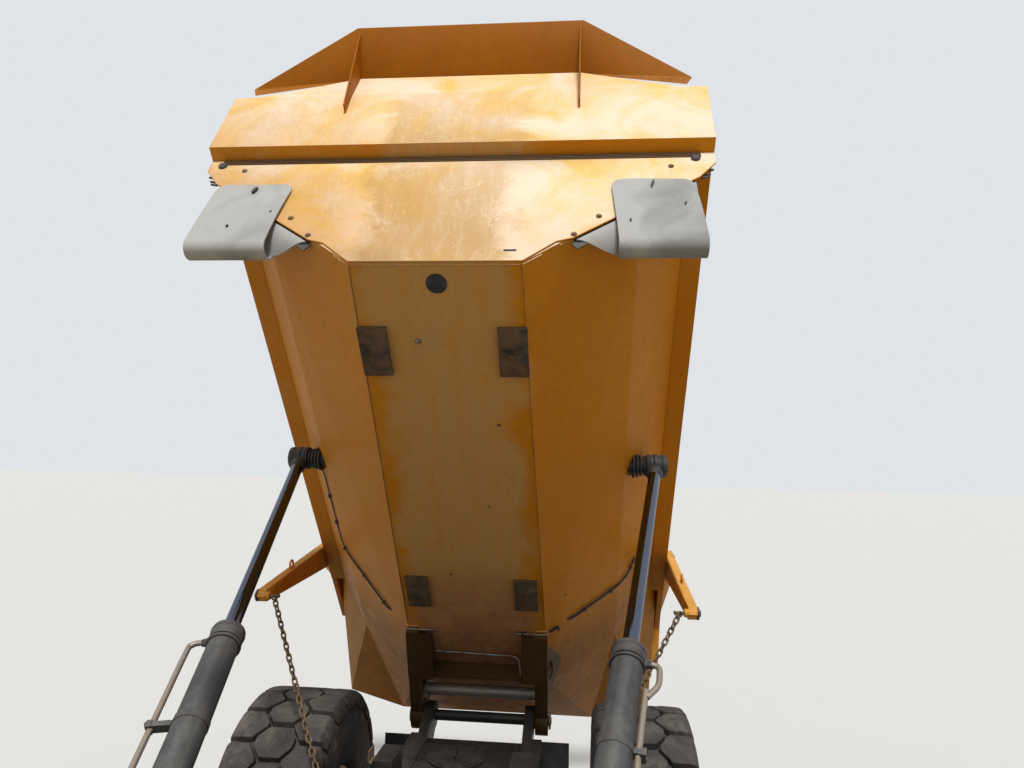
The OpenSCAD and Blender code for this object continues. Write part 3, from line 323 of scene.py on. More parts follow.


# Enamel paint: fade, fade colour, scuffs, dust on top, blotches, edge wear, and the bed's weather with its painted
# sunlight and shade
sharedPaint = dict(paint="bedPaint", faded="bedFaded", under="rust", fade=0.4, scuffs=0.22, top=0.12, blotches=0.1,
    wear=0.7, weatherAndLight=0.0, inner=1.0, dust="clay", coat=0.0, gloss=0.12)
paints = {
    "bodyPaint": dict(paint="paint", faded="paintFaded", under="primer", fade=0.45, scuffs=0.25, top=0.5, blotches=0.14,
                      wear=0.55, coat=0.12, gloss=0.5),
    "bedPaint": dict(weatherAndLight=0.85),
    "railPaint": dict(weatherAndLight=0.85, inner=0.0),
    # The canopy's face is a darker orange: painted shade, as if that face were in shadow
    "canopyPaintedShade": dict(paint="paintedShadeOrange", faded="bedPaint", fade=0.3, scuffs=0.15, top=0.1, blotches=0.05, wear=0.5),
    "gatePaint": dict(faded="bleachedSunlit", fade=0.5, scuffs=0.3, top=0.25, blotches=0.3, dust="floorDust", gloss=0.15),
    # Dark grime on the hinge legs; as the band strip's paint it is painted shadow
    "grimeAndShadowPaint": dict(paint="darkGrimeAndShadow", faded="dryGrimeAndShade", fade=0.6, scuffs=0.3, top=0.2, blotches=0.2, wear=0.5,
                       dust="mud", gloss=0.2),
    # Dark grease with little dust, kept this dark also as painted shade for the frame in the raised bed's shadow
    "framePaint": dict(paint="grease", faded="greaseDry", fade=0.35, scuffs=0.15, top=0.07, blotches=0.07, wear=0.3,
                       dust="greyDust", gloss=0.4),
    "blackPaint": dict(paint="black", faded="blackFaded", under="bareMetal", fade=0.3, scuffs=0.3, top=0.3,
                       blotches=0.18, wear=0.4, dust="greyDust", gloss=0.4),
}
materials = {}


def makePaint(name, s):
    material, tree, shader, place, facing = startMaterial(name, Coat_Weight=s["coat"], Specular_IOR_Level=s["gloss"])
    worn = useGroup(tree, paintGroup, Place=place, Paint=palette[s["paint"]], Faded=palette[s["faded"]],
        Under=palette[s["under"]], Fade=s["fade"], Scuffs=s["scuffs"])
    colour, rough = worn["Color"], worn["Roughness"]
    if s["weatherAndLight"]:
        aged = useGroup(tree, bedGroup, Place=place, Facing=facing, Color=colour, Amount=s["weatherAndLight"], Inner=s["inner"])
        colour, rough = aged["Color"], mathNode(tree, "MAXIMUM", rough, aged["Roughness"])
    edge = useGroup(tree, edgeGroup, Place=place, Wear=s["wear"])["Mask"]
    colour = mixColour(tree, edge, colour, palette["bareMetal" if s["under"] == "primer" else "rust"])
    dusty = useGroup(tree, dustGroup, Place=place, Facing=facing, Color=colour, Top=s["top"], Blotches=s["blotches"],
        Roughness=rough, Dust=palette[s["dust"]])
    tree.links.new(dusty["Color"], shader.inputs["Base Color"])
    tree.links.new(dusty["Roughness"], shader.inputs["Roughness"])
    bump(tree, shader, worn["Height"], 0.25, 0.002)
    materials[name] = material


for paintName, paintSettings in paints.items():
    makePaint(paintName, dict(sharedPaint, **paintSettings))

# Metals: colour, second colour, roughness range, metallic, dust
metals = {
    "bareSteel": dict(a="bareMetal", b="rust", rough=(0.38, 0.75), metallic=0.85, top=0.5, blotches=0.45),
    # Chrome with a dark blue-grey base colour: painted reflection of a blue sky
    "rodChrome": dict(a="chromePaintedSky", b="chromePaintedSky", rough=(0.05, 0.14), metallic=1.0, top=0.0, blotches=0.05),
    "pipeSteel": dict(a="scoured", b="bareMetal", rough=(0.35, 0.65), metallic=0.5, top=0.25, blotches=0.3),
    "chainSteel": dict(a="mud", b="primer", rough=(0.45, 0.8), metallic=0.5, top=0.25, blotches=0.3),
    "rustySteel": dict(a="rust", b="bareMetal", rough=(0.5, 0.9), metallic=0.4, top=0.4, blotches=0.4),
}


def makeMetal(name, s):
    material, tree, shader, place, facing = startMaterial(name, Metallic=s["metallic"])
    grain = noiseField(tree, place, 9, 9, 0.7, 0.3)
    colour = mixColour(tree, spread(tree, grain, 0.44, 0.66), palette[s["a"]], palette[s["b"]])
    dusty = useGroup(tree, dustGroup, Place=place, Facing=facing, Color=colour, Top=s["top"], Blotches=s["blotches"],
        Roughness=spread(tree, grain, 0.3, 0.7, *s["rough"]))
    tree.links.new(dusty["Color"], shader.inputs["Base Color"])
    tree.links.new(dusty["Roughness"], shader.inputs["Roughness"])
    bump(tree, shader, grain, 0.12, 0.001)
    materials[name] = material


for metalName, metalSettings in metals.items():
    makeMetal(metalName, metalSettings)

# Rubber and plastic: base, bloom, roughness, size of the blotches, dust
rubbers = {
    "tyreRubber": dict(blend=(0.5, 0.74), a="rubber", b="rubberDust", rough=(0.72, 0.95), size=5, top=0.3,
                       blotches=0.5, depth=0.004),
    "flapRubber": dict(blend=(0.66, 0.7), a="flap", b="flapDark", rough=(0.8, 0.95), size=16, top=0.15, blotches=0.1,
                       depth=0.003),
    "padRubber": dict(blend=(0.38, 0.6), a="grease", b="mud", rough=(0.8, 0.95), size=6, top=0.4, blotches=0.7,
                      depth=0.006),
    "hoseRubber": dict(blend=(0.5, 0.74), a="plastic", b="blackFaded", rough=(0.5, 0.8), size=12, top=0.4,
                       blotches=0.4, depth=0.001),
    "trimPlastic": dict(blend=(0.5, 0.74), a="plastic", b="blackFaded", rough=(0.45, 0.7), size=8, top=0.3,
                        blotches=0.15, depth=0.0008),
}


def makeRubber(name, s):
    material, tree, shader, place, facing = startMaterial(name)
    cloud = noiseField(tree, place, s["size"], 9, 0.7, 0.5)
    grain = noiseField(tree, place, 160, 4, 0.7)
    colour = mixColour(tree, spread(tree, cloud, *s["blend"]), palette[s["a"]], palette[s["b"]])
    if name == "flapRubber":
        pale = spread(tree, noiseField(tree, place, 2.2, 5, 0.55, 0.5), 0.36, 0.56)
        colour = mixColour(tree, pale, colour, palette["flapPale"])
    dusty = useGroup(tree, dustGroup, Place=place, Facing=facing, Color=colour, Top=s["top"], Blotches=s["blotches"],
        Dust=palette["flapPale"] if name == "flapRubber" else palette["rubberDust"],
        Roughness=spread(tree, grain, 0.3, 0.7, *s["rough"]))
    tree.links.new(dusty["Color"], shader.inputs["Base Color"])
    tree.links.new(dusty["Roughness"], shader.inputs["Roughness"])
    bump(tree, shader, mathNode(tree, "ADD", cloud, times(tree, grain, 0.3)), 0.5, s["depth"])
    materials[name] = material


for rubberName, rubberSettings in rubbers.items():
    makeRubber(rubberName, rubberSettings)


def makeGlass(name, colour, rough, transmission):
    material, tree, shader, place, facing = startMaterial(name, Transmission_Weight=transmission, IOR=1.45)
    haze = spread(tree, noiseField(tree, place, 3, 6, 0.6), 0.3, 0.75, rough, rough + 0.12)
    shade = mixColour(tree, spread(tree, noiseField(tree, place, 1.5, 3), 0.3, 0.7, 0, 0.2), colour, palette["clay"])
    tree.links.new(shade, shader.inputs["Base Color"])
    tree.links.new(haze, shader.inputs["Roughness"])
    materials[name] = material


makeGlass("windowGlass", palette["glass"], 0.02, 0.92)
makeGlass("lampGlass", palette["lamp"], 0.04, 0.6)
makeGlass("darkGlass", palette["plastic"], 0.08, 0.0)
makeGlass("redLens", palette["red"], 0.12, 0.25)
makeGlass("amberLens", palette["amber"], 0.12, 0.25)


def makeSeatFabric():
    material, tree, shader, place, facing = startMaterial("seatFabric", Sheen_Weight=0.3)
    weave = put(tree, "ShaderNodeTexWave", wave_type="BANDS", bands_direction="Y")
    feed(tree, weave, "Vector", place)
    feed(tree, weave, "Scale", 90)
    cross = put(tree, "ShaderNodeTexWave", wave_type="BANDS", bands_direction="X")
    feed(tree, cross, "Vector", place)
    feed(tree, cross, "Scale", 90)
    cloth = times(tree, weave.outputs["Fac"], cross.outputs["Fac"])
    worn = spread(tree, noiseField(tree, place, 5, 6), 0.4, 0.7, 0, 0.4)
    colour = mixColour(tree, worn, palette["seat"], palette["blackFaded"])
    tree.links.new(mixColour(tree, times(tree, cloth, 0.3), colour, palette["rubberDust"]), shader.inputs["Base Color"])
    tree.links.new(spread(tree, cloth, 0, 1, 0.95, 0.75), shader.inputs["Roughness"])
    bump(tree, shader, cloth, 0.4, 0.001)
    materials["seatFabric"] = material


makeSeatFabric()
print("stage: materials made,", len(materials))

# Finish of each CAD node, by the record's slot of that node
slotFinish = {
    "body_paint": "bodyPaint", "bed_paint": "bedPaint", "frame_paint": "framePaint", "black_paint": "blackPaint",
    "bare_steel": "bareSteel", "rod_chrome": "rodChrome", "tyre_rubber": "tyreRubber", "flap_rubber": "flapRubber",
    "pad_rubber": "padRubber", "trim_plastic": "trimPlastic", "window_glass": "windowGlass", "lamp_glass": "lampGlass"}
# Slot of a new piece, by its finish
finishSlot = {finish: slot for slot, finish in slotFinish.items()}
finishSlot.update({"railPaint": "bed_paint", "gatePaint": "bed_paint", "grimeAndShadowPaint": "bed_paint",
    "pipeSteel": "bare_steel", "chainSteel": "bare_steel", "rustySteel": "bare_steel", "hoseRubber": "trim_plastic",
    "seatFabric": "trim_plastic", "darkGlass": "lamp_glass", "redLens": "lamp_glass", "amberLens": "lamp_glass"})
nodeFinish = {"bed_top_rails": "railPaint", "bed_canopy": "canopyPaintedShade", "bed_hinge_legs": "grimeAndShadowPaint",
    "tailgate": "gatePaint"}
nodeSlot = {row["node"]: row["material_slot"] for row in frame["record"]["subparts"]}
softenedEdge = dict(width=0.004, segments=2, angle=32)


def softenEdges(piece, width, angle=32, segments=2):
    made = piece.modifiers.new("softEdge", "BEVEL")
    made.width, made.segments = width, segments
    made.limit_method, made.angle_limit = "ANGLE", radians(angle)
    made.use_clamp_overlap = True
    made.harden_normals = True


def dressNode(name, piece):
    piece.data.materials.clear()
    piece.data.materials.append(materials[nodeFinish.get(name, slotFinish[nodeSlot[name]])])
    if name == "bed_tub":   # folded sheet: its faces stay flat
        return
    piece.data.polygons.foreach_set("use_smooth", [True] * len(piece.data.polygons))
    weld = piece.modifiers.new("join", "WELD")
    weld.merge_threshold = 0.00005
    flat = piece.modifiers.new("flat", "DECIMATE")
    flat.decimate_type, flat.angle_limit = "DISSOLVE", radians(0.02)
    softenEdges(piece, softenedEdge["width"], softenedEdge["angle"], softenedEdge["segments"])


for nodeName, node in nodes.items():
    dressNode(nodeName, node)
print("stage: nodes dressed")


# Angles of equal steps round a full turn
def circle(count, shift=0):
    return [2 * pi * (k + shift) / count for k in range(count)]


# Mesh helpers. A part is a pair of lists: points and faces.
def joined(parts):
    points, faces = [], []
    for partPoints, partFaces in parts:
        start = len(points)
        points.extend(partPoints)
        faces.extend([tuple(i + start for i in face) for face in partFaces])
    return points, faces


def moved(part, matrix):
    flip = matrix.determinant() < 0
    return [matrix @ Vector(p) for p in part[0]], [tuple(reversed(f)) if flip else f for f in part[1]]


mirrorY = Matrix.Diagonal((1, -1, 1, 1))


def bothSides(parts):
    part = joined(parts)
    return [part, moved(part, mirrorY)]


def boxPart(low, high):
    (x0, y0, z0), (x1, y1, z1) = low, high
    points = [Vector(p) for p in ((x0, y0, z0), (x1, y0, z0), (x1, y1, z0), (x0, y1, z0), (x0, y0, z1), (x1, y0, z1),
        (x1, y1, z1), (x0, y1, z1))]
    return points, [(0, 3, 2, 1), (4, 5, 6, 7), (0, 1, 5, 4), (1, 2, 6, 5), (2, 3, 7, 6), (3, 0, 4, 7)]


def ringsPart(rings, closed=True, capped=True):
    points = [p for ring in rings for p in ring]
    n = len(rings[0])
    faces = []
    for k in range(len(rings) - 1):
        for i in range(n if closed else n - 1):
            j = (i + 1) % n
            faces.append((k * n + i, k * n + j, (k + 1) * n + j, (k + 1) * n + i))
    if capped:
        faces.append(tuple(reversed(range(n))))
        faces.append(tuple(range((len(rings) - 1) * n, len(rings) * n)))
    return points, faces


# A box that stands on a surface: ahead and out give its length and height
def boxOn(spot, ahead, out, size, lift=0.0):
    out = Vector(out).normalized()
    ahead = (Vector(ahead) - out * out.dot(Vector(ahead))).normalized()
    matrix = Matrix((ahead, out.cross(ahead), out)).transposed().to_4x4()
    matrix.translation = Vector(spot) + out * lift
    length, width, height = size
    return moved(boxPart((-length / 2, -width / 2, 0), (length / 2, width / 2, height)), matrix)


# A flat plate from corners in one plane, with an oval hole where one is wanted
def platePart(corners, thick, out, hole=None, steps=48):
    out = Vector(out).normalized() * thick
    corners = [Vector(p) for p in corners]
    if not hole:
        return ringsPart([corners, [p + out for p in corners]])
    middle, along, across = (Vector(v) for v in hole)
    outer, inner = [], []
    for k in range(steps):
        a = 2 * pi * k / steps
        ray = along * cos(a) + across * sin(a)
        best = None
        for p, q in zip(corners, corners[1:] + corners[:1]):
            side = (q - p).cross(out)
            slope = ray.dot(side)
            if abs(slope) < 1e-9:
                continue
            t = (p - middle).dot(side) / slope
            at = middle + ray * t
            if t > 0 and -1e-6 <= (at - p).dot(q - p) <= (q - p).length_squared + 1e-6 and (best is None or t < best):
                best = t
        outer.append(middle + ray * best)
        inner.append(middle + ray)
    rings = [inner, outer, [p + out for p in outer], [p + out for p in inner], inner]
    return ringsPart(rings, capped=False)


def turnTo(direction, place=(0, 0, 0)):
    return Matrix.Translation(place) @ Vector(direction).to_track_quat("Z", "Y").to_matrix().to_4x4()


def lathePart(profile, place, direction, steps=32):
    matrix = turnTo(direction, place)
    rings = [[matrix @ Vector((r * cos(a), r * sin(a), h)) for a in circle(steps)] for h, r in profile]
    return ringsPart(rings)


# A ring round an axis, open in its middle
def bandPart(half, inner, outer, place, direction, steps=36):
    profile = [(-half, inner), (-half, outer), (half, outer), (half, inner)]
    matrix = turnTo(direction, place)
    points = [matrix @ Vector((r * cos(a), r * sin(a), h)) for h, r in profile for a in circle(steps)]
    faces = [(k * steps + i, k * steps + (i + 1) % steps, (k + 1) % 4 * steps + (i + 1) % steps,
        (k + 1) % 4 * steps + i) for k in range(4) for i in range(steps)]
    return points, faces


def tubePart(path, radius, sides=12):
    points = [Vector(p) for p in path]
    radii = radius if isinstance(radius, list) else [radius] * len(points)
    rings, side = [], None
    for i, p in enumerate(points):
        ahead = (points[min(i + 1, len(points) - 1)] - points[max(i - 1, 0)]).normalized()
        if side is None:
            side = ahead.orthogonal().normalized()
        side = (side - ahead * side.dot(ahead)).normalized()
        across = ahead.cross(side)
        rings.append([p + (side * cos(a) + across * sin(a)) * radii[i] for a in circle(sides)])
    return ringsPart(rings)


def smoothPath(points, steps=8):
    knots = [Vector(p) for p in points]
    knots = [knots[0] * 2 - knots[1]] + knots + [knots[-1] * 2 - knots[-2]]
    path = []
    for a, b, c, d in zip(knots, knots[1:], knots[2:], knots[3:]):
        for k in range(steps):
            t = k / steps
            path.append(0.5 * (2 * b + (c - a) * t + (2 * a - 5 * b + 4 * c - d) * t * t
                + (3 * b - a - 3 * c + d) * t ** 3))
    return path + [knots[-2]]


# Hexagon bolt with its washer; the head stands along the direction
def boltPart(place, direction, size=0.012):
    matrix = turnTo(direction, place)
    ring = lambda r, h, n, turn=0.0: [matrix @ Vector((r * cos(2 * pi * i / n + turn), r * sin(2 * pi * i / n + turn),
        h)) for i in range(n)]
    washer = ringsPart([ring(size * 1.5, -0.002, 12), ring(size * 1.5, size * 0.25, 12)])
    head = ringsPart([ring(size, size * 0.2, 6), ring(size, size * 0.8, 6), ring(size * 0.82, size * 0.95, 6)])
    return joined([washer, head])


# Keeps faces of a closed part looking outwards
def outward(mesh):
    work = bmesh.new()
    work.from_mesh(mesh)
    bmesh.ops.recalc_face_normals(work, faces=work.faces)
    work.to_mesh(mesh)
    work.free()


def makePiece(name, parts, body, finish, stands=(), smooth=35, soften=0.0):
    points, faces = joined(parts)
    mesh = bpy.data.meshes.new(name)
    mesh.from_pydata(points, [], faces)
    mesh.validate()
    mesh.update()
    return placePiece(name, mesh, body, finish, stands, smooth, soften, None)


def placePiece(name, mesh, body, finish, stands=(), smooth=35, soften=0.0, matrix=None):
    piece = bpy.data.objects.new(name, mesh)
    bpy.context.scene.collection.objects.link(piece)
    if matrix is not None:
        piece.matrix_world = matrix
    if smooth:
        mesh.polygons.foreach_set("use_smooth", [True] * len(mesh.polygons))
        mesh.set_sharp_from_angle(angle=radians(smooth))
    if not mesh.materials:
        mesh.materials.append(materials[finish])
    if soften:
        softenEdges(piece, soften)
    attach(piece, body)
    if stands:
        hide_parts(*stands)
    return piece


# Places on the raised bed: u along its floor from the hinge, y across, w up from the hinge line
def onBed(u, y, w):
    a = radians(bedFrame["raised"])
    px, pz = bedFrame["pivot"]
    return Vector((px + u * cos(a) - w * sin(a), y, pz + u * sin(a) + w * cos(a)))


def bedDirection(u, y, w):
    return onBed(u, y, w) - onBed(0, 0, 0)


# The front wall leans: ahead is measured square to its face, up along it from its foot
wall = dict(u=4.278, w=0.235, lean=0.295, face=0.0125)
wallTilt = atan(wall["lean"])


def onWall(ahead, y, up):
    ahead += wall["face"]
    return onBed(wall["u"] + ahead * cos(wallTilt) + up * sin(wallTilt), y,
        wall["w"] - ahead * sin(wallTilt) + up * cos(wallTilt))


def wallUp(w):
    return (w - wall["w"]) * sqrt(1 + wall["lean"] ** 2)


wallOut = (onWall(1, 0, 0) - onWall(0, 0, 0)).normalized()

# Plain soft light, a pale floor and a pale surround
stage = dict(floor=140, keyAim=(0.52, 0.1, 0.85), keySpread=14, keyPower=2.9, fillAim=(0.8, -0.55, 0.25),
    fillPower=0.16, ambient=0.36, bounce=(0.4, 0.33, 0.23, 1))


def makeSun(name, aim, power, spreadAngle):
    lamp = bpy.data.lights.new(name, "SUN")
    lamp.energy, lamp.angle = power, radians(spreadAngle)
    holder = bpy.data.objects.new(name, lamp)
    holder.matrix_world = turnTo(aim, Vector(aim) * 20)
    bpy.context.scene.collection.objects.link(holder)


def makeStage(s):
    makeSun("keyLamp", s["keyAim"], s["keyPower"], s["keySpread"])
    makeSun("fillLamp", s["fillAim"], s["fillPower"], 60)
    mesh = bpy.data.meshes.new("paleFloor")
    mesh.from_pydata([(x * s["floor"], y * s["floor"], 0) for x, y in ((-1, -1), (1, -1), (1, 1), (-1, 1))], [],
        [(0, 1, 2, 3)])
    floor = bpy.data.objects.new("paleFloor", mesh)
    bpy.context.scene.collection.objects.link(floor)
    material, tree, shader, place, facing = startMaterial("paleFloor", Roughness=0.9)
    tone = spread(tree, noiseField(tree, place, 0.6, 4), 0.3, 0.7, 0, 0.15)
    pale = mixColour(tree, tone, palette["floor"], palette["floorShade"])
    ray = put(tree, "ShaderNodeLightPath")
    shown = mathNode(tree, "MAXIMUM", ray.outputs["Is Camera Ray"], ray.outputs["Is Glossy Ray"])
    shown = mathNode(tree, "MAXIMUM", shown, ray.outputs["Is Transmission Ray"])
    tree.links.new(mixColour(tree, shown, s["bounce"], pale), shader.inputs["Base Color"])
    mesh.materials.append(material)
    world = bpy.data.worlds.new("paleRoom")
    bpy.context.scene.world = world
    world.use_nodes = True
    sky = world.node_tree
    sky.nodes.clear()
    ray = put(sky, "ShaderNodeLightPath")
    seen = mathNode(sky, "MAXIMUM", mathNode(sky, "MAXIMUM", ray.outputs["Is Camera Ray"],
        ray.outputs["Is Glossy Ray"]), ray.outputs["Is Transmission Ray"])
    shown, soft = put(sky, "ShaderNodeBackground"), put(sky, "ShaderNodeBackground")
    shown.inputs["Color"].default_value = palette["surround"]
    soft.inputs["Color"].default_value = (1, 1, 1, 1)
    soft.inputs["Strength"].default_value = s["ambient"]
    both = put(sky, "ShaderNodeMixShader")
    sky.links.new(seen, both.inputs[0])
    sky.links.new(soft.outputs[0], both.inputs[1])
    sky.links.new(shown.outputs[0], both.inputs[2])
    sky.links.new(both.outputs[0], put(sky, "ShaderNodeOutputWorld").inputs["Surface"])
    bpy.context.scene.view_settings.view_transform = "Standard"


makeStage(stage)
print("stage: light and floor made")

# Tyres: rows of close blocks, hexagons in the middle and five-sided ones along the shoulders
tyre = dict(radius=0.93, width=0.75, lugHeight=0.052, lugs=20, rim=0.33, track=1.343, height=0.92972,
    places=dict(front=3.12433, centre=-1.32567, rear=-3.27567), steps=120,
    middleRow=[(-0.145, 2.2, 0.002), (-0.075, 7.5, 0), (0.075, 7.5, 0), (0.145, 2.2, 0.002)],
    sideRow=[(0.098, 0.7, 0.001), (0.142, 4.3, 0.001), (0.18, 7.7, 0), (0.29, 7.7, 0.002), (0.332, 7.6, 0.008),
    (0.353, 7.2, 0.034), (0.369, 6.4, 0.085)])


def tyreOutline(s):
    half, root = s["width"] / 2, s["radius"] - s["lugHeight"]
    bulge = s["rim"] + 0.52 * (root - s["rim"])
    edge = sin(radians(62))
    side = []
    for i in range(21):
        a = radians(-62 + 6.2 * i)
        groove = 0.003 if i in (5, 6, 14) else 0
        side.append((half - 0.046 + 0.046 * cos(a) - groove, bulge + (root - bulge - 0.06) * sin(a) / edge))
    right = [(half - 0.085, s["rim"] + 0.0005), (half - 0.085, s["rim"] + 0.03), (half - 0.06, s["rim"] + 0.05)] + side
    right += [(half - 0.03, root - 0.016), (half - 0.046, root)]
    return right + [(y, root) for y in (0.2, 0.1, 0, -0.1, -0.2)] + [(-y, r) for y, r in reversed(right)]


def blockPart(s, row, middle, sign, shaper):
    root = s["radius"] - s["lugHeight"]
    wear = shaper.uniform(0.0005, 0.004)
    rings = []
    for y, half, drop in row:
        half += shaper.uniform(-0.12, 0.12)
        top = s["radius"] - drop - wear
        foot = root - 0.015 - max(0, drop - 0.02)
        ring = []
        for angle, r in ((-half - 0.9, foot), (-half, top), (-half / 3, top), (half / 3, top), (half, top),
                (half + 0.9, foot)):
            a = radians(middle + angle)
            ring.append(Vector((r * cos(a), y * sign, r * sin(a))))
        rings.append(ring)
    if sign > 0:
        rings.reverse()
    return ringsPart(rings)


def tyrePart(s):
    rings = [[Vector((r * cos(a), y, r * sin(a))) for a in circle(s["steps"])] for y, r in tyreOutline(s)]
    parts = [ringsPart(rings, capped=False)]
    shaper = random.Random(4)
    for i in range(s["lugs"]):
        middle = -90 + i * 360 / s["lugs"]
        parts.append(blockPart(s, s["middleRow"], middle, 1, shaper))
        for sign in (1, -1):
            parts.append(blockPart(s, s["sideRow"], middle + 180 / s["lugs"], sign, shaper))
    return joined(parts)


def wheelPlace(x, sign):
    turned = Matrix.Rotation(0 if sign > 0 else pi, 4, "Z")
    return Matrix.Translation((x, sign * tyre["track"], tyre["height"])) @ turned


def makeTyres(s):
    points, faces = tyrePart(s)
    mesh = bpy.data.meshes.new("tyre")
    mesh.from_pydata(points, [], faces)
    mesh.validate()
    for axle, x in s["places"].items():
        for side, sign in (("left", 1), ("right", -1)):
            matrix = wheelPlace(x, sign)
            piece = placePiece(f"tread_{axle}_{side}", mesh, f"wheel_{axle}_{side}", "tyreRubber",
                (f"tyre_{axle}_{side}",), 35, 0.007, matrix)
            piece.modifiers["softEdge"].segments = 1


makeTyres(tyre)

# Wheel nuts, hub bolts, fill plug and valve on each rim
hub = dict(rows=[(24, 0.262, 0.098, 0.017), (16, 0.172, 0.3, 0.011), (8, 0.092, 0.33, 0.01)], plug=(0.0, 0.33))


def hubPart(s):
    parts = []
    for count, circle, out, size in s["rows"]:
        for i in range(count):
            a = 2 * pi * i / count
            parts.append(boltPart((circle * cos(a), out, circle * sin(a)), (0, 1, 0), size))
    out = s["plug"][1] - 0.001
    parts.append(lathePart([(0, 0.034), (0.006, 0.034), (0.012, 0.024), (0.03, 0.022), (0.034, 0.018)], (0, out, 0),
        (0, 1, 0), 6))
    parts.append(tubePart([(0.3, 0.09, 0), (0.29, 0.14, 0), (0.283, 0.19, 0)], 0.007, 8))
    return joined(parts)


def makeHubs(s):
    points, faces = hubPart(s)
    mesh = bpy.data.meshes.new("hubBolts")
    mesh.from_pydata(points, [], faces)
    for axle, x in tyre["places"].items():
        for side, sign in (("left", 1), ("right", -1)):
            matrix = wheelPlace(x, sign)
            placePiece(f"hub_bolts_{axle}_{side}", mesh, f"wheel_{axle}_{side}", "rustySteel", (), 30, 0, matrix)


makeHubs(hub)
print("stage: wheels made")

# Nearest place on a CAD node's surface, and the way out of it
surfaces = {}


def settle(name, point, gap=0.0):
    if name not in surfaces:
        mesh = nodes[name].data
        surfaces[name] = BVHTree.FromPolygons([v.co for v in mesh.vertices], [tuple(p.vertices) for p in mesh.polygons])
    spot, out = surfaces[name].find_nearest(Vector(point))[:2]
    return spot + out * gap, out


def layAlong(name, points, step, gap):
    laid = []
    for a, b in zip(points, points[1:]):
        count = max(1, round((Vector(b) - Vector(a)).length / step))
        laid += [settle(name, Vector(a).lerp(Vector(b), k / count), gap) for k in range(count)]
    return laid + [settle(name, points[-1], gap)]


# Weld bead with the ripples of its passes
def weldPart(name, points, radius=0.006, seed=1):
    shaper = random.Random(seed)
    laid = layAlong(name, points, radius * 1.7, 0)
    return tubePart([spot for spot, out in laid], [radius * (1.12 if i % 2 else 0.88) * shaper.uniform(0.9, 1.1)
        for i in range(len(laid))], 6)


# Rubber flaps: each sheet hangs from the wall's lower corner, folds under and comes up on the wall's face
flap = dict(thick=0.012, radius=0.066, foldAhead=-0.056, foldUp=0.185, top=0.735, corner=0.075, width=0.51,
    innerLow=1.06, innerTop=1.02, clampInner=(0.815, 0.438), clampOuter=(1.55, 0.962), columns=20, backRows=10,
    foldRows=12, frontRows=18, belly=0.016)


def flapPoint(s, part, t, q, sign):
    low = s["innerLow"] + s["width"] * q
    if part == "back":
        yIn, wIn = s["clampInner"]
        yOut, wOut = s["clampOuter"]
        y, up = yIn + (yOut - yIn) * q, wallUp(wIn + (wOut - wIn) * q) - 0.012
        ease = t * t * (3 - 2 * t)
        ahead = -0.02 + (s["foldAhead"] - s["radius"] + 0.02) * ease
        return onWall(ahead, sign * (y + (low - y) * t), up + (s["foldUp"] - up) * t)
    if part == "fold":
        a = pi + pi * t
        return onWall(s["foldAhead"] + s["radius"] * cos(a), sign * low, s["foldUp"] + s["radius"] * sin(a))
    up = s["foldUp"] + (s["top"] - s["foldUp"]) * t
    edge = s["corner"] - (s["top"] - up)
    inset = s["corner"] - sqrt(max(0, s["corner"] ** 2 - edge ** 2)) if edge > 0 else 0
    inner = s["innerLow"] + (s["innerTop"] - s["innerLow"]) * t
    ripple = s["belly"] * sin(pi * min(1, t * 1.15)) * (0.55 + 0.45 * sin(5.2 * q + 1.3 + sign))
    lift = 0.006 * sin(2.2 * q + sign) ** 2 * t
    return onWall(s["foldAhead"] + s["radius"] + ripple + lift, sign * (inner + inset + (s["width"] - 2 * inset) * q),
        up)


def makeFlaps(s):
    columns = s["columns"]
    parts = []
    for sign in (1, -1):
        rows = [[flapPoint(s, "back", k / s["backRows"], i / columns, sign) for i in range(columns + 1)]
            for k in range(s["backRows"])]
        rows += [[flapPoint(s, "fold", k / s["foldRows"], i / columns, sign) for i in range(columns + 1)]
            for k in range(s["foldRows"])]
        rows += [[flapPoint(s, "front", 1 - (1 - k / s["frontRows"]) ** 1.5, i / columns, sign)
            for i in range(columns + 1)] for k in range(s["frontRows"] + 1)]
        if sign < 0:
            rows.reverse()
        parts.append(ringsPart(rows, closed=False, capped=False))
    sheet = makePiece("rubber_flaps", parts, "bed", "flapRubber", ("bed_flaps",), 60)
    skin = sheet.modifiers.new("thickness", "SOLIDIFY")
    skin.thickness, skin.offset = s["thick"], 0
    softenEdges(sheet, 0.002, 50)


makeFlaps(flap)

# Clamp bars and studs behind the flaps, torn places, the wall's own bolts, and a dark strip painting the band's shadow
# on the wall
wallMarks = dict(bolts=[(-1.42, 1.11), (-0.96, 0.621), (-0.808, 0.462), (1.404, 1.086), (0.947, 0.61), (0.801, 0.452)],
    plugs=[(-1.592, 1.165), (1.564, 1.165)], mark=(0.435, 0.319),
    torn=[(1.275, 0.672, 0.034, 0.009), (1.46, 0.47, 0.018, 0.007), (-1.262, 0.665, 0.036, 0.013),
    (-1.09, 0.43, 0.011, 0.008), (1.13, 0.32, 0.012, 0.006), (-1.33, 0.3, 0.01, 0.007)],
    studs=[(1.588, 1.0), (1.604, 1.03), (1.628, 1.075)])


def tornPart(y, up, tall, wide, shaper):
    middle = onWall(0.034, y, up)
    ring = []
    for k in range(11):
        a = 2 * pi * k / 11
        r = shaper.uniform(0.6, 1.15)
        ring.append(onWall(0.012, y + wide * r * cos(a) + 0.25 * tall * sin(a), up + tall * r * sin(a)))
    lifted = [p + wallOut * 0.0225 for p in ring]
    return ringsPart([ring, lifted, [p.lerp(middle, 0.5) for p in lifted]])


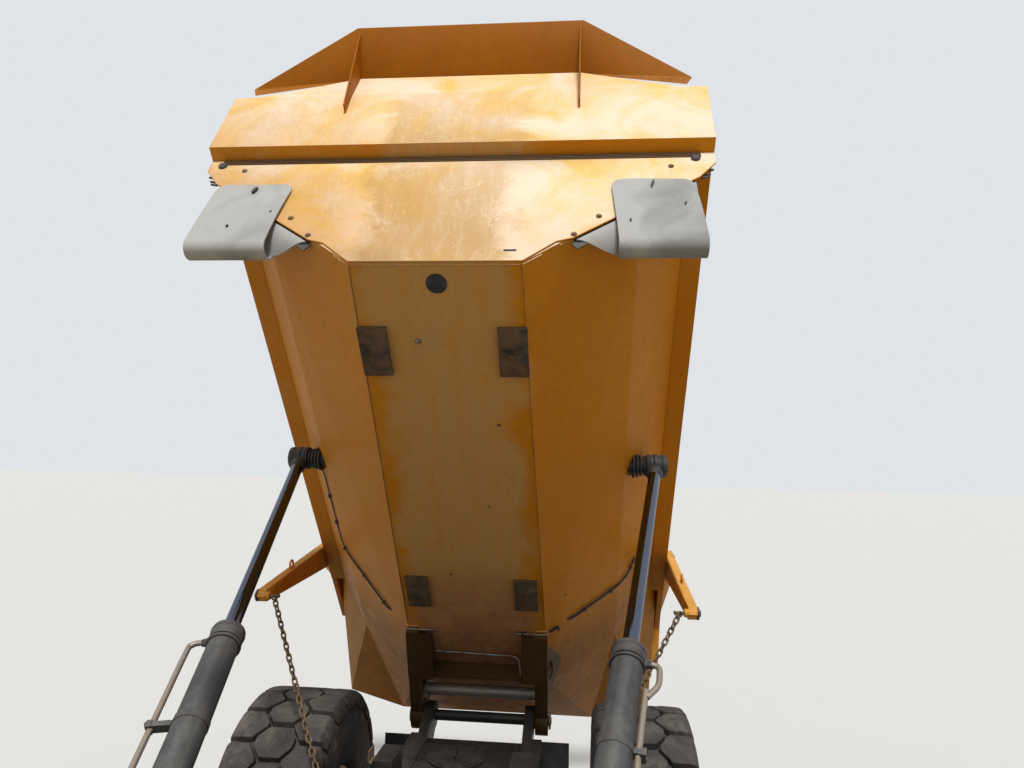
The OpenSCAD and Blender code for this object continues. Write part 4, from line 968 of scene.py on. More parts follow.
def makeWallMarks(s):
    shaper = random.Random(11)
    bolts = [boltPart(onWall(0, y, wallUp(w)), wallOut, 0.013) for y, w in s["bolts"]]
    bars = []
    for sign in (1, -1):
        low, high = onWall(-0.032, sign * 0.8, wallUp(0.445)), onWall(-0.032, sign * 1.55, wallUp(0.98))
        bars.append(boxOn(low.lerp(high, 0.5), high - low, -wallOut, ((high - low).length, 0.06, 0.01)))
        bars.append(boxOn(onWall(-0.03, sign * 0.83, wallUp(0.408)), high - low, -wallOut, (0.07, 0.06, 0.008)))
        for k in range(6):
            bolts.append(boltPart((low.lerp(high, (k + 0.5) / 6)) - wallOut * 0.01, -wallOut, 0.012))
    for y, w in s["studs"]:
        for sign in (1, -1):
            foot = onWall(-0.03, sign * y, wallUp(w))
            bars.append(tubePart([foot, foot + (onWall(0, sign * 0.045, 0.012) - onWall(0, 0, 0))], 0.008, 8))
    makePiece("wall_bolts", bolts, "bed", "rustySteel")
    makePiece("flap_clamps", bars, "bed", "blackPaint", soften=0.0015)
    makePiece("flap_tears", [tornPart(*mark, shaper) for mark in s["torn"]], "bed", "hoseRubber",
        smooth=0)
    plugs = [lathePart([(-0.002, 0.03), (0.008, 0.03), (0.014, 0.024)], onWall(0, y, wallUp(w)), wallOut, 20)
        for y, w in s["plugs"]]
    # A dark strip with two groove lines across the wall's top under the band: painted shadow of the band
    top, low = wallUp(1.2265), wallUp(1.2265) - 0.052
    strip = [platePart([onWall(-0.001, y, up) for y, up in ((-1.6, top), (1.6, top), (1.6, low), (-1.6, low))], 0.006,
        wallOut)]
    strip += [tubePart([onWall(0.0055, -1.59, up), onWall(0.0055, 1.59, up)], 0.004, 8)
        for up in (low + 0.018, low + 0.034)]
    outward(makePiece("band_shadow_strip", strip, "bed", "grimeAndShadowPaint", soften=0.001).data)
    y, w = s["mark"]
    plugs.append(boxOn(onWall(0, y, wallUp(w)), onWall(0, 1, 0) - onWall(0, 0, 0), wallOut, (0.075, 0.012, 0.004)))
    makePiece("wall_plugs", plugs, "bed", "trimPlastic")


makeWallMarks(wallMarks)

# Welds on the underside and the wall, floor plug and bolts, and the thin double line in its clips
underside = dict(floorHalf=(0.512, 0.6), floorU=(4.278, 0.2), floorW=0.235, fold=(1.2, 0.762), sideTop=(1.64, 1.4),
    bead=0.006, webW=(1.262, 1.271), webU=(0.26, 1.4, 3.0, 4.52), webOut=1.689, hole=(4.144, 0.0, 0.058),
    bright=(3.749, -0.158), specks=[(2.35, 0.2), (1.6, -0.15), (3.1, 0.31)],
    leftLine=[(2.16, -1.36, 0.92), (2.062, -1.30, 0.844), (1.298, -1.283, 0.832), (0.896, -0.674, 0.311),
    (0.86, -0.5, 0.235), (0.856, -0.385, 0.235)], rightLine=[(1.066, 1.396, 0.929), (0.947, 1.31, 0.856),
    (0.905, 0.604, 0.251), (0.907, 0.328, 0.235)], lineRadius=0.0055, lineApart=0.011, lineGap=0.014, lineStep=0.03,
    clipStep=0.3)


def floorHalf(u):
    (narrow, wide), (front, back) = underside["floorHalf"], underside["floorU"]
    return narrow + (wide - narrow) * (front - u) / (front - back)


def makeWelds(s):
    parts = []
    for sign in (1, -1):
        edge = [onBed(u, sign * floorHalf(u), s["floorW"]) for u in (4.25, 3.0, 2.0, 1.0)]
        parts.append(weldPart("bed_tub", edge, s["bead"], 3 + sign))
        corner = [(sign * 0.512, 0.235), (sign * 0.7, 0.395), (sign * 0.8, 0.425)]
        parts.append(weldPart("bed_tub", [onBed(wall["u"] + (w - wall["w"]) * wall["lean"] - 0.016, y, w)
            for y, w in corner], 0.005, 5))
        foot = [onBed(u, sign * y, 0.233) for u, y in ((0.93, 0.497), (0.93, 0.6), (0.3, 0.606))]
        parts.append(weldPart("bed_tub", foot, 0.007, 9))
    parts.append(weldPart("bed_tub", [onBed(4.262, -0.5, 0.234), onBed(4.262, 0.5, 0.234)], 0.006, 15))
    makePiece("bed_welds", parts, "bed", "bedPaint", smooth=50)


def makeLines(s):
    lines, clips = [], []
    for points in (s["leftLine"], s["rightLine"]):
        laid = layAlong("bed_tub", [onBed(*p) for p in points], s["lineStep"], s["lineGap"])
        path = [spot for spot, out in laid]
        for turn in range(3):
            path = [path[0]] + [path[i] * 0.5 + (path[i - 1] + path[i + 1]) * 0.25
                for i in range(1, len(path) - 1)] + [path[-1]]
        for offset in (-s["lineApart"], s["lineApart"]):
            lines.append(tubePart([path[i] + (path[min(i + 1, len(path) - 1)]
                - path[max(i - 1, 0)]).normalized().cross(laid[i][1]) * offset for i in range(len(path))],
                s["lineRadius"], 8))
        every = round(s["clipStep"] / s["lineStep"])
        for i in range(3, len(path) - 2, every):
            spot, out = laid[i]
            ahead = path[i + 1] - path[i - 1]
            clips.append(boxOn(spot, ahead, out, (0.016, 0.052, 0.009), -s["lineGap"] + 0.0185))
            clips.append(boxOn(spot, ahead, out, (0.016, 0.008, 0.026), -s["lineGap"] - 0.002))
            clips.append(boltPart(spot + out * (0.0135 - s["lineGap"] + 0.014), out, 0.007))
    makePiece("grease_lines", lines, "bed", "hoseRubber")
    makePiece("grease_line_clips", clips, "bed", "blackPaint", soften=0.001)


def makeFloorMarks(s):
    down = bedDirection(0, 0, -1)
    u, y, r = s["hole"]
    plug = [lathePart([(-0.002, r + 0.006), (0.003, r + 0.006), (0.0045, r + 0.003), (0.0045, r), (0.0005, r - 0.002)],
        onBed(u, y, s["floorW"]), down, 40)]
    makePiece("floor_plug", plug, "bed", "trimPlastic")
    makePiece("floor_bolt", [boltPart(onBed(*s["bright"], s["floorW"]), down, 0.014)], "bed", "bareSteel")
    makePiece("floor_studs", [boltPart(onBed(u, y, s["floorW"]), down, 0.008) for u, y in s["specks"]], "bed",
        "rustySteel")


# Webs that close the side rails against the tub's slanted sides
def makeRailWebs(s):
    (foldY, foldW), (topY, topW) = s["fold"], s["sideTop"]
    low, high = s["webW"]
    edge = lambda w: foldY + (w - foldW) * (topY - foldY) / (topW - foldW)
    parts = []
    for u0, u1 in zip(s["webU"], s["webU"][1:]):
        corners = [(edge(low) + 0.002, low), (s["webOut"], low), (s["webOut"], high), (edge(high) + 0.002, high)]
        parts.append(ringsPart([[onBed(u, y, w) for y, w in corners] for u in (u0, u1)]))
    webs = makePiece("side_rail_webs", bothSides(parts), "bed", "railPaint", soften=0.001)
    outward(webs.data)


makeRailWebs(underside)
makeWelds(underside)
makeLines(underside)
makeFloorMarks(underside)

# Box legs at the hinge: front and inner plates, flared outer plates with oval holes, cross plate, tube and pipe
legs = dict(inner=0.385, outer=0.602, thick=0.012, top=(0.885, 0.2), low=(0.45, 0.06), flareY=0.7, flareW=0.322)


def makeLegs(s):
    (ut, wt), (ul, wl) = s["top"], s["low"]
    face = Vector((ut - ul, 0, wt - wl)).normalized()
    out = bedDirection(face.z, 0, -face.x)
    plates = []
    for sign in (1, -1):
        corners = [onBed(u, sign * y, w) for u, w, y in ((ut, wt, s["inner"]), (ut, wt, s["outer"]),
            (ul, wl, s["outer"]), (ul, wl, s["inner"]))]
        plates.append(platePart(corners[::sign], s["thick"], out))
        corners = [onBed(u, sign * s["inner"], w) for u, w in ((ut + 0.015, 0.2345), (ul, 0.2345), (ul, wl), (ut, wt))]
        plates.append(platePart(corners[::sign], s["thick"], (0, sign, 0)))
        flare = [onBed(0.34, sign * 0.606, 0.03), onBed(0.3, sign * 0.62, 0.15),
            onBed(0.42, sign * s["flareY"], s["flareW"]), onBed(0.84, sign * s["flareY"], s["flareW"]),
            onBed(0.84, sign * 0.606, 0.185)]
        normal = (flare[3] - flare[2]).cross(flare[4] - flare[3]).normalized()
        flat = [p - normal * normal.dot(p - flare[3]) for p in flare]
        middle = (flat[0] + flat[1] + flat[2] + flat[4]) / 4
        plates.append(platePart(flat, s["thick"], normal, (middle, bedDirection(0.085, 0, 0.03),
            normal.cross(bedDirection(0.085, 0, 0.03)) * 0.45)))
    makePiece("leg_plates", plates, "bed", "grimeAndShadowPaint", smooth=30, soften=0.0015)
    cross = [platePart([onBed(0.44, y, w) for y, w in ((-0.385, 0.2345), (0.385, 0.2345), (0.385, 0.1), (0.3, 0.085),
        (-0.3, 0.085), (-0.385, 0.1))], 0.014, bedDirection(1, 0, 0))]
    makePiece("leg_cross_plate", cross, "bed", "grimeAndShadowPaint", soften=0.002)
    tube = [lathePart([(-0.491, 0.052), (0.491, 0.052)], onBed(0.2, 0, 0.125), (0, 1, 0), 32)]
    tube += [lathePart([(-0.003, 0.072), (0.003, 0.072)], onBed(0.2, sign * 0.489, 0.125), (0, 1, 0), 32)
        for sign in (1, -1)]
    makePiece("leg_cross_tube", tube, "bed", "pipeSteel", soften=0.002)
    pipe = smoothPath([onBed(0.63, -0.372, 0.2), onBed(0.63, -0.36, 0.215), onBed(0.62, -0.3, 0.217),
        onBed(0.6, 0.2, 0.217), onBed(0.6, 0.29, 0.216), onBed(0.58, 0.345, 0.2), onBed(0.53, 0.365, 0.15),
        onBed(0.47, 0.37, 0.11)])
    pipe2 = [smoothPath([onBed(0.905, sign * 0.33, 0.221), onBed(0.905, sign * 0.4, 0.221),
        onBed(0.905, sign * 0.56, 0.221), onBed(0.905, sign * 0.6, 0.228)]) for sign in (1, -1)]
    makePiece("leg_pipes", [tubePart(pipe, 0.011, 12)] + [tubePart(path, 0.009, 12) for path in pipe2], "bed",
        "bareSteel")
    caps = []
    for sign in (1, -1):
        for side, y in ((1, 0.61), (-1, 0.486)):
            caps.append(lathePart([(0, 0.07), (0.012, 0.07), (0.016, 0.062), (0.016, 0.03), (0.022, 0.028),
                (0.022, 0.012)], onBed(0, sign * y, 0), (0, sign * side, 0), 28))
    makePiece("hinge_pin_caps", caps, "bed", "rustySteel")


makeLegs(legs)
print("stage: bed underside made")

# Tailgate: places by its closed shape, turned open about its pivot
gate = dict(pivot=(0.45, 1.44), open=28.0, foot=(-1.21, 0.69), lean=0.9, thick=0.0208, height=0.982, half=1.775,
    ribY=(-1.5, -0.9, -0.3, 0.3, 0.9, 1.5), railUp=(0.055, 0.49, 0.925), armFace=1.775, armAngle=-27.3, armLen=1.545)
gateAlong = Vector((gate["lean"], 0, 1)).normalized()


def onGate(u, y, w):
    a = -radians(gate["open"])
    pu, pw = gate["pivot"]
    du, dw = u - pu, w - pw
    return onBed(pu + du * cos(a) - dw * sin(a), y, pw + du * sin(a) + dw * cos(a))


def onGatePlate(up, y, out):
    out += gate["thick"]
    u0, w0 = gate["foot"]
    return onGate(u0 + gateAlong.x * up - gateAlong.z * out, y, w0 + gateAlong.z * up + gateAlong.x * out)


def gateBar(up, y, size):
    ahead = onGatePlate(1, 0, 0) - onGatePlate(0, 0, 0)
    out = onGatePlate(0, 0, 1) - onGatePlate(0, 0, 0)
    return boxOn(onGatePlate(up, y, -0.001), ahead, out, size)


def chamferedBar(up, y, size):
    length, width, height = size
    rings = []
    for end in (-1, 1):
        ring = []
        for across, out in ((-0.5, 0), (-0.5, 0.55), (-0.3, 1), (0.3, 1), (0.5, 0.55), (0.5, 0)):
            ring.append(onGatePlate(up + across * width, y + end * length / 2, out * height - 0.001))
        rings.append(ring)
    return ringsPart(rings[::-1])


def makeGate(s):
    parts = [chamferedBar(up, 0, (s["half"] * 2 - 0.04, 0.1, 0.062)) for up in s["railUp"]]
    for y in s["ribY"]:
        parts += [gateBar((a + b) / 2, y, (b - a - 0.1, 0.075, 0.05)) for a, b in zip(s["railUp"], s["railUp"][1:])]
    makePiece("tailgate_ribs", parts, "tailgate", "gatePaint", smooth=30, soften=0.003)
    hubs, rings = [], []
    a = radians(s["armAngle"])
    tipPlace = lambda share, off, y: onGate(s["pivot"][0] + s["armLen"] * share * cos(a) - off * sin(a), y,
        s["pivot"][1] + s["armLen"] * share * sin(a) + off * cos(a))
    for sign in (1, -1):
        hubs.append(lathePart([(0, 0.1), (0.012, 0.1), (0.018, 0.092), (0.018, 0.055), (0.03, 0.05), (0.03, 0.02)],
            onGate(*s["pivot"][:1], sign * s["armFace"], s["pivot"][1]), (0, sign, 0), 32))
        for k in range(6):
            b = k * pi / 3
            hubs.append(boltPart(onGate(s["pivot"][0] + 0.074 * cos(b), sign * (s["armFace"] + 0.018),
                s["pivot"][1] + 0.074 * sin(b)), (0, sign, 0), 0.009))
        hubs.append(lathePart([(0, 0.05), (0.01, 0.05), (0.014, 0.044), (0.02, 0.026), (0.026, 0.024)],
            tipPlace(1, 0, sign * s["armFace"]), (0, sign, 0), 24))
        middle, ahead = tipPlace(0.62, 0.112, sign * 1.74), tipPlace(1, 0, 0) - tipPlace(0, 0, 0)
        ahead.normalize()
        up = (tipPlace(0.5, 0.1, 0) - tipPlace(0.5, 0, 0)).normalized()
        loop = [middle + (ahead * cos(t) + up * sin(t)) * 0.034 for t in (2 * pi * k / 28 for k in range(29))]
        rings.append(tubePart(loop, 0.0095, 10))
        rings.append(boxOn(middle - up * 0.042, ahead, up, (0.1, 0.022, 0.016)))
    makePiece("tailgate_hubs", hubs, "tailgate", "blackPaint")
    makePiece("lifting_rings", rings, "tailgate", "bodyPaint", soften=0.001)
    seal = [weldPart("tailgate", [tipPlace(share, 0.1 - 0.06 * share, sign * 1.704) for share in (0.12, 0.5, 0.9)],
        0.005, 21) for sign in (1, -1)]
    makePiece("tailgate_welds", seal, "tailgate", "gatePaint")


makeGate(gate)

# Hoists: gland bolts, steel pipe with elbows and clamps on the barrel, black housing on the rod's eye
hoist = dict(clamps=(2.3, 1.5, 0.75), ball=(1.0243, 0.665, 1.29), eye=(2.23, 1.45, 0.86), barrel=2.933, radius=0.085,
    pipe=0.016, pipeOut=dict(left=[(2.86, 0.08), (2.86, 0.135), (2.845, 0.162), (2.8, 0.17), (2.72, 0.165),
    (2.64, 0.12), (2.56, 0.107), (1.2, 0.107), (0.42, 0.107), (0.34, 0.104), (0.31, 0.085)],
    right=[(2.86, 0.08), (2.86, 0.15), (2.845, 0.18), (2.8, 0.192), (2.4, 0.192), (1.2, 0.185), (0.5, 0.17),
    (0.38, 0.15), (0.34, 0.12), (0.33, 0.085)]))


def hoistAxes(s, side):
    sign = 1 if side == "left" else -1
    ball = Vector(s["ball"])
    ball.y *= sign
    u, y, w = s["eye"]
    eye = onBed(u, sign * y, w)
    axis = (eye - ball).normalized()
    out = (Vector((0, sign, 0)) - axis * axis.y * sign).normalized()
    return ball, eye, axis, out, axis.cross(out)


def makeHoist(s, side):
    ball, eye, axis, out, up = hoistAxes(s, side)
    body, end = f"hoist_barrel_{side}", s["barrel"]
    at = lambda along, off, lift=0.0: ball + axis * along + out * off + up * lift
    ring = lambda along, low, high, r: lathePart([(low, r - 0.004), (low + 0.004, r), (high - 0.004, r),
        (high, r - 0.004)], at(along, 0), axis, 48)
    parts = [ring(end - 0.12, 0, 0.02, 0.0965), ring(end - 0.03, 0, 0.016, 0.0965), ring(0.2, 0, 0.02, 0.094)]
    parts += [boltPart(at(end, 0.072 * cos(a), 0.072 * sin(a)), axis, 0.009) for a in circle(10)]
    for along in (2.86, s["pipeOut"][side][-1][0]):
        parts.append(lathePart([(0, 0.03), (0.022, 0.03), (0.03, 0.024), (0.046, 0.022)],
            at(along, s["radius"] - 0.006), out, 6))
    makePiece(f"hoist_gland_{side}", parts, body, "blackPaint", soften=0.001)
    route = smoothPath([at(along, off) for along, off in s["pipeOut"][side]], 6)
    makePiece(f"hoist_pipe_{side}", [tubePart(route, s["pipe"], 14)], body, "pipeSteel", smooth=50)
    clamps = []
    for along in s["clamps"]:
        off = max(o for a, o in s["pipeOut"][side] if a < 2.7) - (0.0 if side == "left" else 0.004)
        clamps.append(bandPart(0.02, 0.0805, 0.089, at(along, 0), axis, 48))
        clamps.append(boxOn(at(along, 0.084), axis, out, (0.03, 0.05, off - 0.084)))
        clamps.append(boxOn(at(along, off - 0.004), axis, out, (0.04, 0.06, 0.026)))
        clamps.append(boltPart(at(along, off + 0.022, 0.023), out, 0.008))
    makePiece(f"hoist_clamps_{side}", clamps, body, "blackPaint", soften=0.001)
    sign = 1 if side == "left" else -1
    housing = [(-0.0775, 0.05), (-0.0775, 0.088), (-0.055, 0.094), (-0.045, 0.086), (-0.025, 0.086), (-0.015, 0.094),
        (0.005, 0.094), (0.015, 0.086), (0.04, 0.086), (0.05, 0.092), (0.0775, 0.088), (0.0815, 0.062), (0.09, 0.06),
        (0.09, 0.02)]
    cap = [lathePart(housing, eye, (0, sign, 0), 36)]
    cap += [boltPart(eye + Vector((0.04 * cos(a), sign * 0.09, 0.04 * sin(a))), (0, sign, 0), 0.007) for a in circle(5)]
    cap.append(lathePart([(0.07, 0.05), (0.1, 0.062), (0.15, 0.06), (0.17, 0.0465)], eye, -axis, 32))
    makePiece(f"hoist_eye_{side}", cap, f"hoist_rod_{side}", "blackPaint", soften=0.001)
    u, y, w = s["eye"]
    ribs = [lathePart([(h, 0.06), (h, r), (h + 0.016, r), (h + 0.016, 0.06)], onBed(u, sign * (y - 0.084), w),
        (0, -sign, 0), 32) for h, r in ((0.0, 0.078), (0.028, 0.084), (0.056, 0.09), (0.084, 0.097))]
    makePiece(f"hoist_boss_ribs_{side}", ribs, "bed", "hoseRubber", soften=0.002)


for hoistSide in ("left", "right"):
    makeHoist(hoist, hoistSide)

# Chains: round links, a shackle at each end, and one larger link at the foot
chain = dict(foot=(-2.4457, 0.87, 1.48), head=(-3.2816, 1.645, 2.6048), wire=0.0072, bend=0.0165, links=16)


def linkPath(middle, ahead, side, half, bend):
    path = []
    for sign in (1, -1):
        for k in range(9):
            a = -pi / 2 + pi * k / 8
            path.append(middle + sign * (ahead * (half - bend + bend * cos(a)) + side * bend * sin(a)))
    return path + path[:1]


def makeChain(s, side):
    sign = 1 if side == "left" else -1
    foot, head = (Vector((x, sign * y, z)) for x, y, z in (s["foot"], s["head"]))
    middle = (foot + head) / 2
    for part, start in (("lower", foot), ("upper", head)):
        ahead = (middle - start).normalized()
        pitch = (middle - start).length / s["links"]
        across = ahead.cross(Vector((0, 1, 0))).normalized()
        other = ahead.cross(across)
        body, links = f"chain_{part}_{side}", []
        wobble = random.Random(3 if part == "lower" else 7)
        for k in range(s["links"]):
            a = pi / 2 * (k % 2) + wobble.uniform(-0.16, 0.16) + 0.4
            turned = across * cos(a) + other * sin(a)
            big = 1.28 if part == "lower" and k == 0 else 1
            links.append(tubePart(linkPath(start + ahead * pitch * (k + 0.5), ahead, turned,
                pitch / 2 + s["wire"] * big * 0.95, s["bend"] * big), s["wire"] * big, 9))
        pin = Vector((0, 1, 0))
        links.append(tubePart([start - pin * 0.036, start + pin * 0.036], 0.011, 14))
        links += [lathePart([(0.036, 0.0165), (0.046, 0.0165), (0.05, 0.013)], start, (0, turn, 0), 6)
            for turn in (1, -1)]
        bow = [start + pin * 0.026 * cos(t) + ahead * (0.042 * sin(t)) for t in (pi * k / 14 for k in range(15))]
        links.append(tubePart(bow, 0.008, 9))
        makePiece(f"chain_links_{part}_{side}", links, body, "chainSteel", (body,), 60)


for chainSide in ("left", "right"):
    makeChain(chain, chainSide)
print("stage: tailgate, hoists and chains made")

# Cab: seals, guard bars, wiper, lamps and beacon, handles; door and window sizes are the openings'
cab = dict(x=(2.6943, 4.2943), half=0.85, roof=3.72, seal=0.028, frontWindow=((-0.76, 2.56), (0.76, 3.49)),
    rearWindow=((-0.74, 2.56), (0.74, 3.49)), doorPane=((3.1943, 2.22), (3.9543, 3.48)),
    rightWindow=((3.1143, 2.56), (4.0343, 3.49)), sideWindow=((2.8143, 2.56), (3.0543, 3.49)),
    roofLamps=[(4.2, -0.66), (4.2, -0.42), (4.2, 0.42), (4.2, 0.66)], rearLamps=[-0.6, 0.6], beacon=(2.95, 0.62))


# Rounded corners of an oblong: middle and angle of each step
def cornerTurns(low, high, corner, steps):
    (x0, y0), (x1, y1) = low, high
    for (cx, cy), start in (((x1, y1), 0), ((x0, y1), 1), ((x0, y0), 2), ((x1, y0), 3)):
        mx = cx - corner if start in (0, 3) else cx + corner
        my = cy - corner if start in (0, 1) else cy + corner
        for k in range(steps + 1):
            yield mx, my, pi / 2 * (start + k / steps)


# A rubber seal round a window, in the plane that place gives
def loopPart(low, high, place, width, height, corner=0.05, steps=5):
    turns = list(cornerTurns(low, high, corner, steps))
    outer, inner = ([(mx + r * cos(a), my + r * sin(a)) for mx, my, a in turns]
        for r in (corner + width / 2, corner - width / 2))
    rings = [[place(*p, 0) for p in outer], [place(*p, height) for p in outer], [place(*p, height) for p in inner],
        [place(*p, 0) for p in inner], [place(*p, 0) for p in outer]]
    return ringsPart(rings, capped=False)


def lampPart(place, direction, size, lamps, lenses):
    lamps.append(lathePart([(-0.07, size * 0.5), (-0.06, size * 0.72), (-0.01, size), (0.012, size),
        (0.012, size * 0.9), (0.004, size * 0.88)], place, direction, 28))
    lenses.append(lathePart([(0.002, size * 0.87), (0.008, size * 0.8), (0.012, size * 0.5), (0.013, size * 0.1)],
        place, direction, 28))


def makeCab(s):
    (x0, x1), half, z1 = s["x"], s["half"], s["roof"]
    seals = [loopPart(*s["frontWindow"], lambda y, z, out: Vector((x1 + out, y, z)), s["seal"], 0.008),
        loopPart(*s["rearWindow"], lambda y, z, out: Vector((x0 - out, y, z)), s["seal"], 0.008)]
    for sign in (1, -1):
        seals.append(loopPart(*s["sideWindow"], lambda x, z, out, k=sign: Vector((x, k * (half + out), z)), s["seal"],
            0.008))
    seals.append(loopPart(*s["rightWindow"], lambda x, z, out: Vector((x, -half - out, z)), s["seal"], 0.008))
    outward(makePiece("window_seals", seals, "tractor", "hoseRubber", smooth=40).data)
    outward(makePiece("door_pane_seal", [loopPart(*s["doorPane"], lambda x, z, out: Vector((x, half + out, z)),
        s["seal"], 0.008)], "door", "hoseRubber", smooth=40).data)
    bars = [boxPart((x0 - 0.05, y - 0.012, 2.5), (x0 - 0.036, y + 0.012, 3.55)) for y in (-0.7, 0, 0.7)]
    bars += [tubePart([(x0 - 0.045, -0.78, z), (x0 - 0.045, 0.78, z)], 0.008, 8)
        for z in (2.58 + 0.098 * k for k in range(10))]
    bars += [boxPart((x0 - 0.05, y - 0.02, z - 0.02), (x0 + 0.001, y + 0.02, z + 0.02)) for y in (-0.7, 0.7)
        for z in (2.52, 3.53)]
    makePiece("rear_window_guard", bars, "tractor", "blackPaint", soften=0.0015)
    wiper = [lathePart([(0, 0.022), (0.03, 0.02), (0.036, 0.012)], (x1, 0.1, 2.5), (1, 0, 0), 16),
        tubePart([(x1 + 0.028, 0.1, 2.5), (x1 + 0.034, 0.02, 2.72), (x1 + 0.026, -0.2, 3.05)], 0.006, 8),
        boxOn((x1 + 0.012, -0.2, 3.05), (0, -0.35, 0.62), (1, 0, 0), (0.62, 0.012, 0.022))]
    makePiece("wiper", wiper, "tractor", "trimPlastic", soften=0.001)
    lamps, lenses, reds = [], [], []
    for x, y in s["roofLamps"]:
        lampPart(Vector((x + 0.1, y, z1 - 0.06)), (1, 0, -0.16), 0.062, lamps, lenses)
    for y in s["rearLamps"]:
        lampPart(Vector((x0 - 0.05, y, z1 - 0.07)), (-1, 0, -0.2), 0.062, lamps, lenses)
    bx, by = s["beacon"]
    lamps.append(lathePart([(0, 0.055), (0.03, 0.055), (0.034, 0.045)], (bx, by, z1 - 0.001), (0, 0, 1), 28))
    reds.append(lathePart([(0.03, 0.043), (0.1, 0.04), (0.125, 0.03), (0.132, 0.012)], (bx, by, z1 - 0.001), (0, 0, 1),
        28))
    lamps.append(tubePart([(2.85, -0.68, z1 - 0.01), (2.85, -0.68, z1 + 0.16), (2.85, -0.68, z1 + 0.5)], 0.004, 6))
    makePiece("roof_lamps", lamps, "tractor", "trimPlastic", soften=0.001)
    makePiece("roof_lamp_lenses", lenses, "tractor", "lampGlass")
    makePiece("beacon_lens", reds, "tractor", "amberLens")
    visor = [platePart([(x1 - 0.001, -0.8, 3.6), (x1 - 0.001, 0.8, 3.6), (x1 + 0.17, 0.76, 3.53),
        (x1 + 0.17, -0.76, 3.53)], 0.012, (0.35, 0, 0.93))]
    visor += [boxPart((x0 - 0.008, -half - 0.008, 3.56), (x1 + 0.008, -half + 0.001, 3.585)),
        boxPart((x0 - 0.008, half - 0.001, 3.56), (x1 + 0.008, half + 0.008, 3.585))]
    makePiece("cab_visor", visor, "tractor", "bodyPaint", soften=0.002)
    roof = [boxPart((3.15, -0.42, z1 - 0.001), (3.95, 0.42, z1 + 0.05))]
    roof += [boxPart((3.2 + 0.06 * k, -0.36, z1 + 0.045), (3.225 + 0.06 * k, 0.36, z1 + 0.062)) for k in range(12)]
    makePiece("roof_vent", roof, "tractor", "trimPlastic", soften=0.004)
    rails = []
    for x, z in ((4.235, 2.35), (3.055, 2.1)):
        y = half + 0.055
        rails.append(tubePart(smoothPath([(x, half - 0.002, z), (x, y - 0.01, z + 0.01), (x, y, z + 0.05),
            (x, y, z + 0.7), (x, y - 0.01, z + 0.74), (x, half - 0.002, z + 0.75)]), 0.013, 12))
    makePiece("cab_grab_rails", rails, "tractor", "blackPaint")


def makeDoor(s):
    half = s["half"]
    parts = [boxPart((3.17, half - 0.001, 2.1), (3.31, half + 0.014, 2.17)),
        tubePart(smoothPath([(3.19, half + 0.01, 2.135), (3.2, half + 0.038, 2.135), (3.28, half + 0.038, 2.135),
        (3.29, half + 0.01, 2.135)]), 0.008, 10), lathePart([(0, 0.013), (0.018, 0.013), (0.02, 0.006)],
        (3.24, half, 2.195), (0, 1, 0), 16)]
    for z in (2.32, 3.3):
        parts.append(boxPart((3.955, half - 0.001, z - 0.045), (4.02, half + 0.01, z + 0.045)))
        parts.append(lathePart([(-0.05, 0.0095), (0.05, 0.0095)], (4.021, half + 0.0145, z), (0, 0, 1), 16))
        parts += [boltPart((3.975, half + 0.01, z + dz), (0, 1, 0), 0.007) for dz in (-0.025, 0.025)]
    makePiece("door_handle_hinges", parts, "door", "trimPlastic", soften=0.0012)
    inner = [boxPart((3.16, half - 0.075, 2.1), (3.98, half - 0.051, 2.2)),
        tubePart(smoothPath([(3.3, half - 0.06, 2.19), (3.3, half - 0.1, 2.2), (3.6, half - 0.11, 2.2),
        (3.62, half - 0.06, 2.19)]), 0.011, 10)]
    makePiece("door_inner_trim", inner, "door", "trimPlastic", soften=0.003)


makeCab(cab)
makeDoor(cab)

# Driver's place: padded seat with its bellows, wheel, screen, levers and pedals
seat = dict(base=(3.2243, 3.7543), half=0.27, top=2.42, backFoot=(3.29, 2.42), backLean=-12.0, backHigh=0.7,
    backWide=0.25)


def padPart(low, high, steps=10, crown=0.03, pinch=0.5):
    points, faces = [], []
    (x0, y0, z0), (x1, y1, z1) = low, high
    for side in (1, -1):
        for j in range(steps + 1):
            for i in range(steps + 1):
                a, b = i / steps * 2 - 1, j / steps * 2 - 1
                rim = (1 - a ** 4) * (1 - b ** 4)
                draw = 1 - 0.018 * pinch * (1 - abs(a)) * (abs(b) > 0.99)
                groove = 0.012 * exp(-((abs(b) - 0.55) / 0.05) ** 2) if side > 0 else 0
                z = (z1 if side > 0 else z0) + side * crown * (rim ** 0.5 - 1) - groove * rim
                points.append(Vector(((x0 + x1) / 2 + (x1 - x0) / 2 * a * draw,
                    (y0 + y1) / 2 + (y1 - y0) / 2 * b * draw, z)))
    n = steps + 1
    for side in range(2):
        for j in range(steps):
            for i in range(steps):
                k = side * n * n + j * n + i
                quad = (k, k + 1, k + n + 1, k + n)
                faces.append(quad if side == 0 else quad[::-1])
    rim = [i for i in range(n)] + [j * n + steps for j in range(1, n)] + [steps * n + i
        for i in range(steps - 1, -1, -1)] + [j * n for j in range(steps - 1, 0, -1)]
    for a, b in zip(rim, rim[1:] + rim[:1]):
        faces.append((a, a + n * n, b + n * n, b))
    return points, faces


def pipingPath(low, high, z, corner=0.05):
    turns = cornerTurns(low, high, corner, 4)
    path = [Vector((mx + corner * cos(a), my + corner * sin(a), z)) for mx, my, a in turns]
    return path + path[:1]


